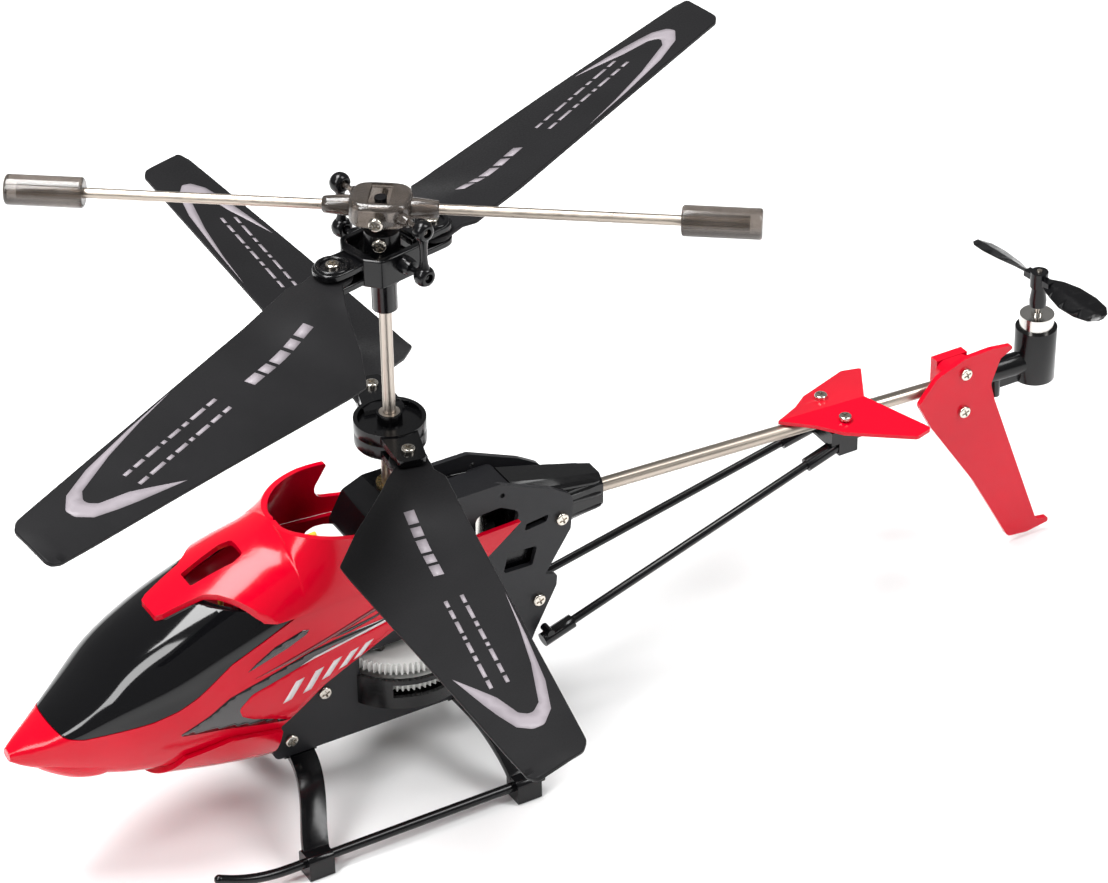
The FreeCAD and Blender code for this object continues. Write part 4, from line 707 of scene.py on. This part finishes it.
ROTORS = {
    "upper_blade_1": (11.75, 31.59, 98.63, 1, "upper_rotor_blade_1"),
    "upper_blade_2": (191.75, 207.29, 98.63, 1, "upper_rotor_blade_2"),
    "lower_blade_1": (78.91, 77.47, 65.72, -1, "lower_rotor_blade_1"),
    "lower_blade_2": (258.91, 269.12, 65.72, -1, "lower_rotor_blade_2"),
}
NAME_DASHES = [2.2, 3.6, 1.4, 2.8, 1.0, 3.2, 2.4, 1.8]
for name, (hub, angle, plane, handed, body) in ROTORS.items():
    place = blade_placer(hub, angle, plane, handed)
    mesh = patch(name, rounded(BLADE_PLAN), 1.5, place)
    thing = piece(f"{name}_skin", mesh, MATERIALS["blade_plastic"], body, [name])
    depth = thing.modifiers.new("depth", "SOLIDIFY")
    depth.thickness = 2 * BLADE_HALF * MM
    depth.offset = 0
    settle(thing)
    soften(thing, 0.22, 3, 50)
    print_on(f"{name}_stripe", STRIPE_PLAN, place, body)
    marks = dashes(24.0, 3.0, 4.6, [3.0, 2.2, 3.4, 2.4, 3.0], 0.8, -0.4)
    marks += dashes(48.0, 1.9, 2.5, NAME_DASHES, 0.9)
    marks += dashes(48.0, 4.5, 5.1, NAME_DASHES[::-1], 0.9)
    for i, outline in enumerate(marks):
        print_on(f"{name}_mark_{i}", outline, place, body, step=2.5)


# ---- flybar hub and ball links ----

FLYBAR_Z, YOKE_Z, BALL_REACH = 107.4, 99.2, 10.2
FLYBAR_ANGLE, BALL_ANGLE = -36.26, 101.75


def direction(angle):
    return Vector((math.cos(math.radians(angle)), math.sin(math.radians(angle)), 0))


def turned(name, profile, origin, axis, sides=32):
    """A round body about an axis, from pairs of distance along it and radius."""
    axis = axis.normalized()
    side = axis.orthogonal().normalized()
    other = axis.cross(side)
    verts, faces = [], []
    for distance, radius in profile:
        for k in range(sides):
            angle = 2 * math.pi * k / sides
            around = side * math.cos(angle) + other * math.sin(angle)
            verts.append(origin + axis * distance + around * radius)
    for i in range(len(profile) - 1):
        for k in range(sides):
            a, b = i * sides + k, i * sides + (k + 1) % sides
            faces.append((a, b, b + sides, a + sides))
    if profile[0] != profile[-1]:
        faces.append(tuple(range(sides)))
        faces.append(tuple((len(profile) - 1) * sides + k for k in range(sides)))
    return tidy(to_mesh(name, verts, faces), 0.0002)


def turned_frame(angle, points):
    """Points of a plan turned about the rotor axis."""
    out, side = direction(angle), direction(angle + 90)
    return [tuple((out * a + side * b)[:2]) for a, b in points]


def turned_frame_corners(angle, corners):
    """The same for corners that may carry a rounding radius."""
    flat = turned_frame(angle, [corner[:2] for corner in corners])
    return [(*point, *corner[2:]) for point, corner in zip(flat, corners)]


def lobed(half_a, half_b, power=3.4, count=72):
    """A rounded rectangle along the flybar."""
    points = []
    for k in range(count):
        c, s = math.cos(2 * math.pi * k / count), math.sin(2 * math.pi * k / count)
        a, b = math.copysign(abs(c) ** (2 / power), c), math.copysign(abs(s) ** (2 / power), s)
        points.append((a * half_a, b * half_b))
    return turned_frame(FLYBAR_ANGLE, points)


HUB_LOW, HUB_HIGH, HUB_FLOOR = FLYBAR_Z - 2.1, FLYBAR_Z + 2.4, FLYBAR_Z + 1.6
hub_skin = prism("flybar_hub_skin", lobed(5.0, 4.3), HUB_LOW, HUB_HIGH, "flybar", "smoke_plastic",
                 replaces=["flybar_hub"])
soften(hub_skin, 1.15, 5, 50)
settle(hub_skin)
carve(hub_skin, cutter(lobed(4.2, 3.5), HUB_LOW - 1, HUB_FLOOR, "XY"), "DIFFERENCE")
hub_slot = rounded(turned_frame(FLYBAR_ANGLE, [(1.75, 3.1), (-1.75, 3.1), (-1.75, -3.1), (1.75, -3.1)]))
carve(hub_skin, cutter(hub_slot, HUB_LOW - 1, HUB_HIGH + 1, "XY"), "DIFFERENCE")
soften(hub_skin, 0.12, 2, 40)

ROD_BOSS = [(4.3, 1.2), (4.5, 1.65), (5.6, 1.7), (8.4, 1.45), (9.1, 1.35), (9.3, 1.1), (9.3, 0.9), (4.3, 0.9),
            (4.3, 1.2)]
BALL_STUD = [(9.6, 0.46), (9.7, 0.75), (10.2, 0.88), (10.7, 0.75), (11.05, 0.3)]
BALL_ARM = [(4.0, 0.9), (4.2, 1.1), (6.4, 1.0), (6.9, 0.8), (7.0, 0.46)] + BALL_STUD
YOKE_STUD = [(4.8, 1.5), (6.6, 1.45), (7.3, 1.2), (7.5, 0.46)] + BALL_STUD
LINK_EYE = [(-1.15, 0.78), (-1.2, 1.0), (-1.0, 1.4), (-0.5, 1.68), (0.0, 1.74), (0.5, 1.68), (1.0, 1.4),
            (1.2, 1.0), (1.15, 0.78), (0.6, 0.97), (-0.6, 0.97), (-1.15, 0.78)]
LINK_ROD = [(1.4, 0.95), (2.2, 0.72), (3.2, 0.62), (5.0, 0.62), (6.0, 0.72), (6.8, 0.95)]
UP = Vector((0, 0, 1))


def turned_piece(name, profile, origin, axis, material, body, angle=50, sides=32, replaces=()):
    mesh = turned(name, profile, origin, axis, sides)
    return shade(piece(name, mesh, MATERIALS[material], body, replaces), angle)


for side, label in ((1, "1"), (-1, "2")):
    level = Vector((0, 0, FLYBAR_Z))
    along_bar, along_balls = direction(FLYBAR_ANGLE) * side, direction(BALL_ANGLE) * side
    turned_piece(f"flybar_boss_{label}", ROD_BOSS, level, along_bar, "smoke_plastic", "flybar")
    turned_piece(f"flybar_ball_arm_{label}", BALL_ARM, level, along_balls, "smoke_plastic", "flybar")
    link, body = f"link_{label}", f"ball_link_{label}"
    out = direction(BALL_ANGLE) * side * BALL_REACH
    turned_piece(f"{link}_rod", LINK_ROD, out + UP * YOKE_Z, UP, "black_plastic", body, sides=20,
                 replaces=[link])
    for height, end in ((YOKE_Z, "low"), (FLYBAR_Z, "high")):
        eye = out + UP * height
        turned_piece(f"{link}_{end}", LINK_EYE, eye, direction(BALL_ANGLE), "black_plastic", body)

# ---- blade yoke ----

YOKE_ANGLE, YOKE_LOW, YOKE_HIGH = BALL_ANGLE - 90, 96.3, 101.3
JAW_LOW, JAW_HIGH, JAW_WALL = 97.88, 99.38, 1.25
YOKE_BLOCK = [(6.2, -2.6, 0.8), (6.2, 2.6, 0.8), (4.4, 5.3, 1.2), (-4.4, 5.3, 1.2), (-6.2, 2.6, 0.8),
              (-6.2, -2.6, 0.8), (-4.4, -5.3, 1.2), (4.4, -5.3, 1.2)]
YOKE_ROOM = [(4.5, -4.1, 0.8), (4.5, 4.1, 0.8), (-4.5, 4.1, 0.8), (-4.5, -4.1, 0.8)]
JAW_PLAN = [(4.0, -2.7), (8.2, -2.9, 2), (13.3, -2.9, 2.7), (13.3, 2.9, 2.7), (8.2, 2.9, 2), (4.0, 2.7)]
SCREW_RIM = [(0.0, 2.85), (0.35, 2.8), (0.5, 2.6), (0.5, 2.2), (0.35, 2.0), (0.0, 1.95), (0.0, 2.85)]
block_plan = rounded(turned_frame_corners(YOKE_ANGLE, YOKE_BLOCK))
room_plan = rounded(turned_frame_corners(YOKE_ANGLE, YOKE_ROOM))
yoke_block = prism("yoke_block", block_plan, YOKE_LOW, YOKE_HIGH, "yoke", "black_plastic",
                   replaces=["blade_yoke"])
carve(yoke_block, cutter(room_plan, YOKE_LOW - 1, YOKE_HIGH + 1, "XY"), "DIFFERENCE")
soften(yoke_block, 0.3, 3, 40)
for turn, label in ((0, "1"), (180, "2")):
    jaw_plan = rounded(turned_frame_corners(YOKE_ANGLE + turn, JAW_PLAN))
    for low, high, level in ((JAW_LOW - JAW_WALL, JAW_LOW, "low"), (JAW_HIGH, JAW_HIGH + JAW_WALL, "high")):
        jaw = prism(f"yoke_jaw_{label}_{level}", jaw_plan, low, high, "yoke", "black_plastic")
        soften(jaw, 0.28, 3, 40)
    seat = direction(YOKE_ANGLE + turn) * PIVOT + UP * (JAW_HIGH + JAW_WALL - 0.05)
    turned_piece(f"yoke_rim_{label}", SCREW_RIM, seat, UP, "black_plastic", "yoke")
    arm = direction(BALL_ANGLE + turn)
    turned_piece(f"yoke_stud_{label}", YOKE_STUD, UP * YOKE_Z, arm, "black_plastic", "yoke")

# ---- boom holder ribs, and the deck and webs between the side plates ----

RIB_ENDS = (
    ((-21.5, 4.25, 47.2), (-37.6, 2.75, 43.5)),
    ((-21.5, 4.6, 43.4), (-37.9, 3.0, 41.2)),
    ((-22.0, 4.5, 39.9), (-37.9, 2.9, 38.8)),
)
for side, label in ((1, "left"), (-1, "right")):
    for level, ends in enumerate(RIB_ENDS):
        start, end = (Vector((x, y * side, z)) for x, y, z in ends)
        length = (end - start).length
        profile = [(0.0, 0.2), (0.5, 0.5), (2.0, 0.62)]
        profile += [(length - 1.5, 0.5), (length - 0.3, 0.35), (length, 0.15)]
        turned_piece(f"{label}_holder_rib_{level}", profile, start, end - start, "black_plastic", "airframe",
                     sides=16)
DECK_PLAN = [(-9.6, -4.5, 1), (-9.6, 4.5, 1), (-20.5, 4.5, 1), (-20.5, -4.5, 1)]
FAR_WEB = [(-9.5, 45.0), (-9.5, 48.6, 1), (-13.0, 49.4, 1), (-21.0, 48.4, 1), (-21.0, 45.0)]
REAR_WEB = [(-18.0, 29.5), (-18.0, 39.3, 1), (-25.0, 39.3, 1), (-24.6, 29.5)]
deck = prism("frame_deck", rounded(DECK_PLAN), 48.35, 49.0, "airframe", "frame_plate")
soften(deck, 0.15, 2, 40)
web = prism("frame_web", rounded(FAR_WEB), -4.55, -3.95, "airframe", "black_plastic", "XZ")
soften(web, 0.15, 2, 40)
for side, label in ((1, "left"), (-1, "right")):
    near, far = sorted((3.4 * side, 4.1 * side))
    web = prism(f"{label}_rear_web", rounded(REAR_WEB), near, far, "airframe", "black_plastic", "XZ")
    soften(web, 0.15, 2, 40)

# ---- moulded boss under the tail propeller ----

TAIL_X, TAIL_BOSS_LOW = -129.6, 47.2
TAIL_BOSS = [(0.0, 1.1), (0.2, 1.5), (1.4, 1.55), (3.6, 1.25), (5.6, 1.2)]
turned_piece("tail_propeller_boss", TAIL_BOSS, Vector((TAIL_X, 0, TAIL_BOSS_LOW)), UP, "black_plastic",
             "tail_rotor", angle=40)


# ---- studio ----

FLOOR_HALF, FLOOR_STEPS = 3.0, 12
floor_mesh = bpy.data.meshes.new("floor")
work = bmesh.new()
bmesh.ops.create_grid(work, x_segments=FLOOR_STEPS, y_segments=FLOOR_STEPS, size=FLOOR_HALF)
work.to_mesh(floor_mesh)
work.free()
floor = bpy.data.objects.new("floor", floor_mesh)
bpy.context.scene.collection.objects.link(floor)
floor.location.z = -0.0002
floor_mat, floor_tree, floor_shader = new_material("studio_floor")
paper = noise(floor_tree, 9, 3)
floor_tint = two_tones(floor_tree, paper, (0.86, 0.86, 0.86), (0.9, 0.9, 0.9))
floor_tree.links.new(floor_tint, floor_shader.inputs["Base Color"])
floor_shader.inputs["Roughness"].default_value = 0.65
floor_shader.inputs["Specular IOR Level"].default_value = 0.25
floor.data.materials.append(floor_mat)

world = bpy.data.worlds.new("studio")
bpy.context.scene.world = world
world.use_nodes = True
world.node_tree.nodes["Background"].inputs["Color"].default_value = (1, 1, 1, 1)
world.node_tree.nodes["Background"].inputs["Strength"].default_value = 0.26
bpy.context.scene.view_settings.view_transform = "Standard"


def panel_light(name, azimuth, elevation, distance, size, watts):
    lamp = bpy.data.lights.new(name, "AREA")
    lamp.shape = "RECTANGLE"
    lamp.size, lamp.size_y = size
    lamp.energy = watts
    thing = bpy.data.objects.new(name, lamp)
    a, e = math.radians(azimuth), math.radians(elevation)
    away = Vector((math.sin(a) * math.cos(e), -math.cos(a) * math.cos(e), math.sin(e)))
    thing.location = TARGET + away * distance
    thing.rotation_euler = away.to_track_quat("Z", "Y").to_euler()
    bpy.context.scene.collection.objects.link(thing)


TARGET = Vector((-0.03056, 0.0, 0.05237))
panel_light("overhead", 50, 74, 0.8, (0.5, 0.3), 9)
panel_light("front_left", 110, 42, 0.9, (0.2, 0.6), 5)
panel_light("behind_right", 225, 48, 0.9, (0.25, 0.6), 5)

CAMERA_DISTANCE = 0.70001
CAMERA_AZIMUTH, CAMERA_ELEVATION, CAMERA_ROLL = (math.radians(v) for v in (150.58, 33.90, -0.87))
back = Vector((math.sin(CAMERA_AZIMUTH) * math.cos(CAMERA_ELEVATION),
               -math.cos(CAMERA_AZIMUTH) * math.cos(CAMERA_ELEVATION), math.sin(CAMERA_ELEVATION)))
right = Vector((0, 0, 1)).cross(back).normalized()
up = back.cross(right)
rolled_right = right * math.cos(CAMERA_ROLL) + up * math.sin(CAMERA_ROLL)
rolled_up = up * math.cos(CAMERA_ROLL) - right * math.sin(CAMERA_ROLL)
lens = bpy.data.cameras.new("camera")
lens.lens = 135.93
lens.sensor_width = 36.0
lens.sensor_fit = "HORIZONTAL"
lens.clip_start, lens.clip_end = 0.05, 20.0
camera = bpy.data.objects.new("camera", lens)
camera.matrix_world = Matrix((
    (rolled_right.x, rolled_up.x, back.x, TARGET.x + back.x * CAMERA_DISTANCE),
    (rolled_right.y, rolled_up.y, back.y, TARGET.y + back.y * CAMERA_DISTANCE),
    (rolled_right.z, rolled_up.z, back.z, TARGET.z + back.z * CAMERA_DISTANCE),
    (0, 0, 0, 1),
))
bpy.context.scene.collection.objects.link(camera)
bpy.context.scene.camera = camera

bpy.context.view_layer.update()
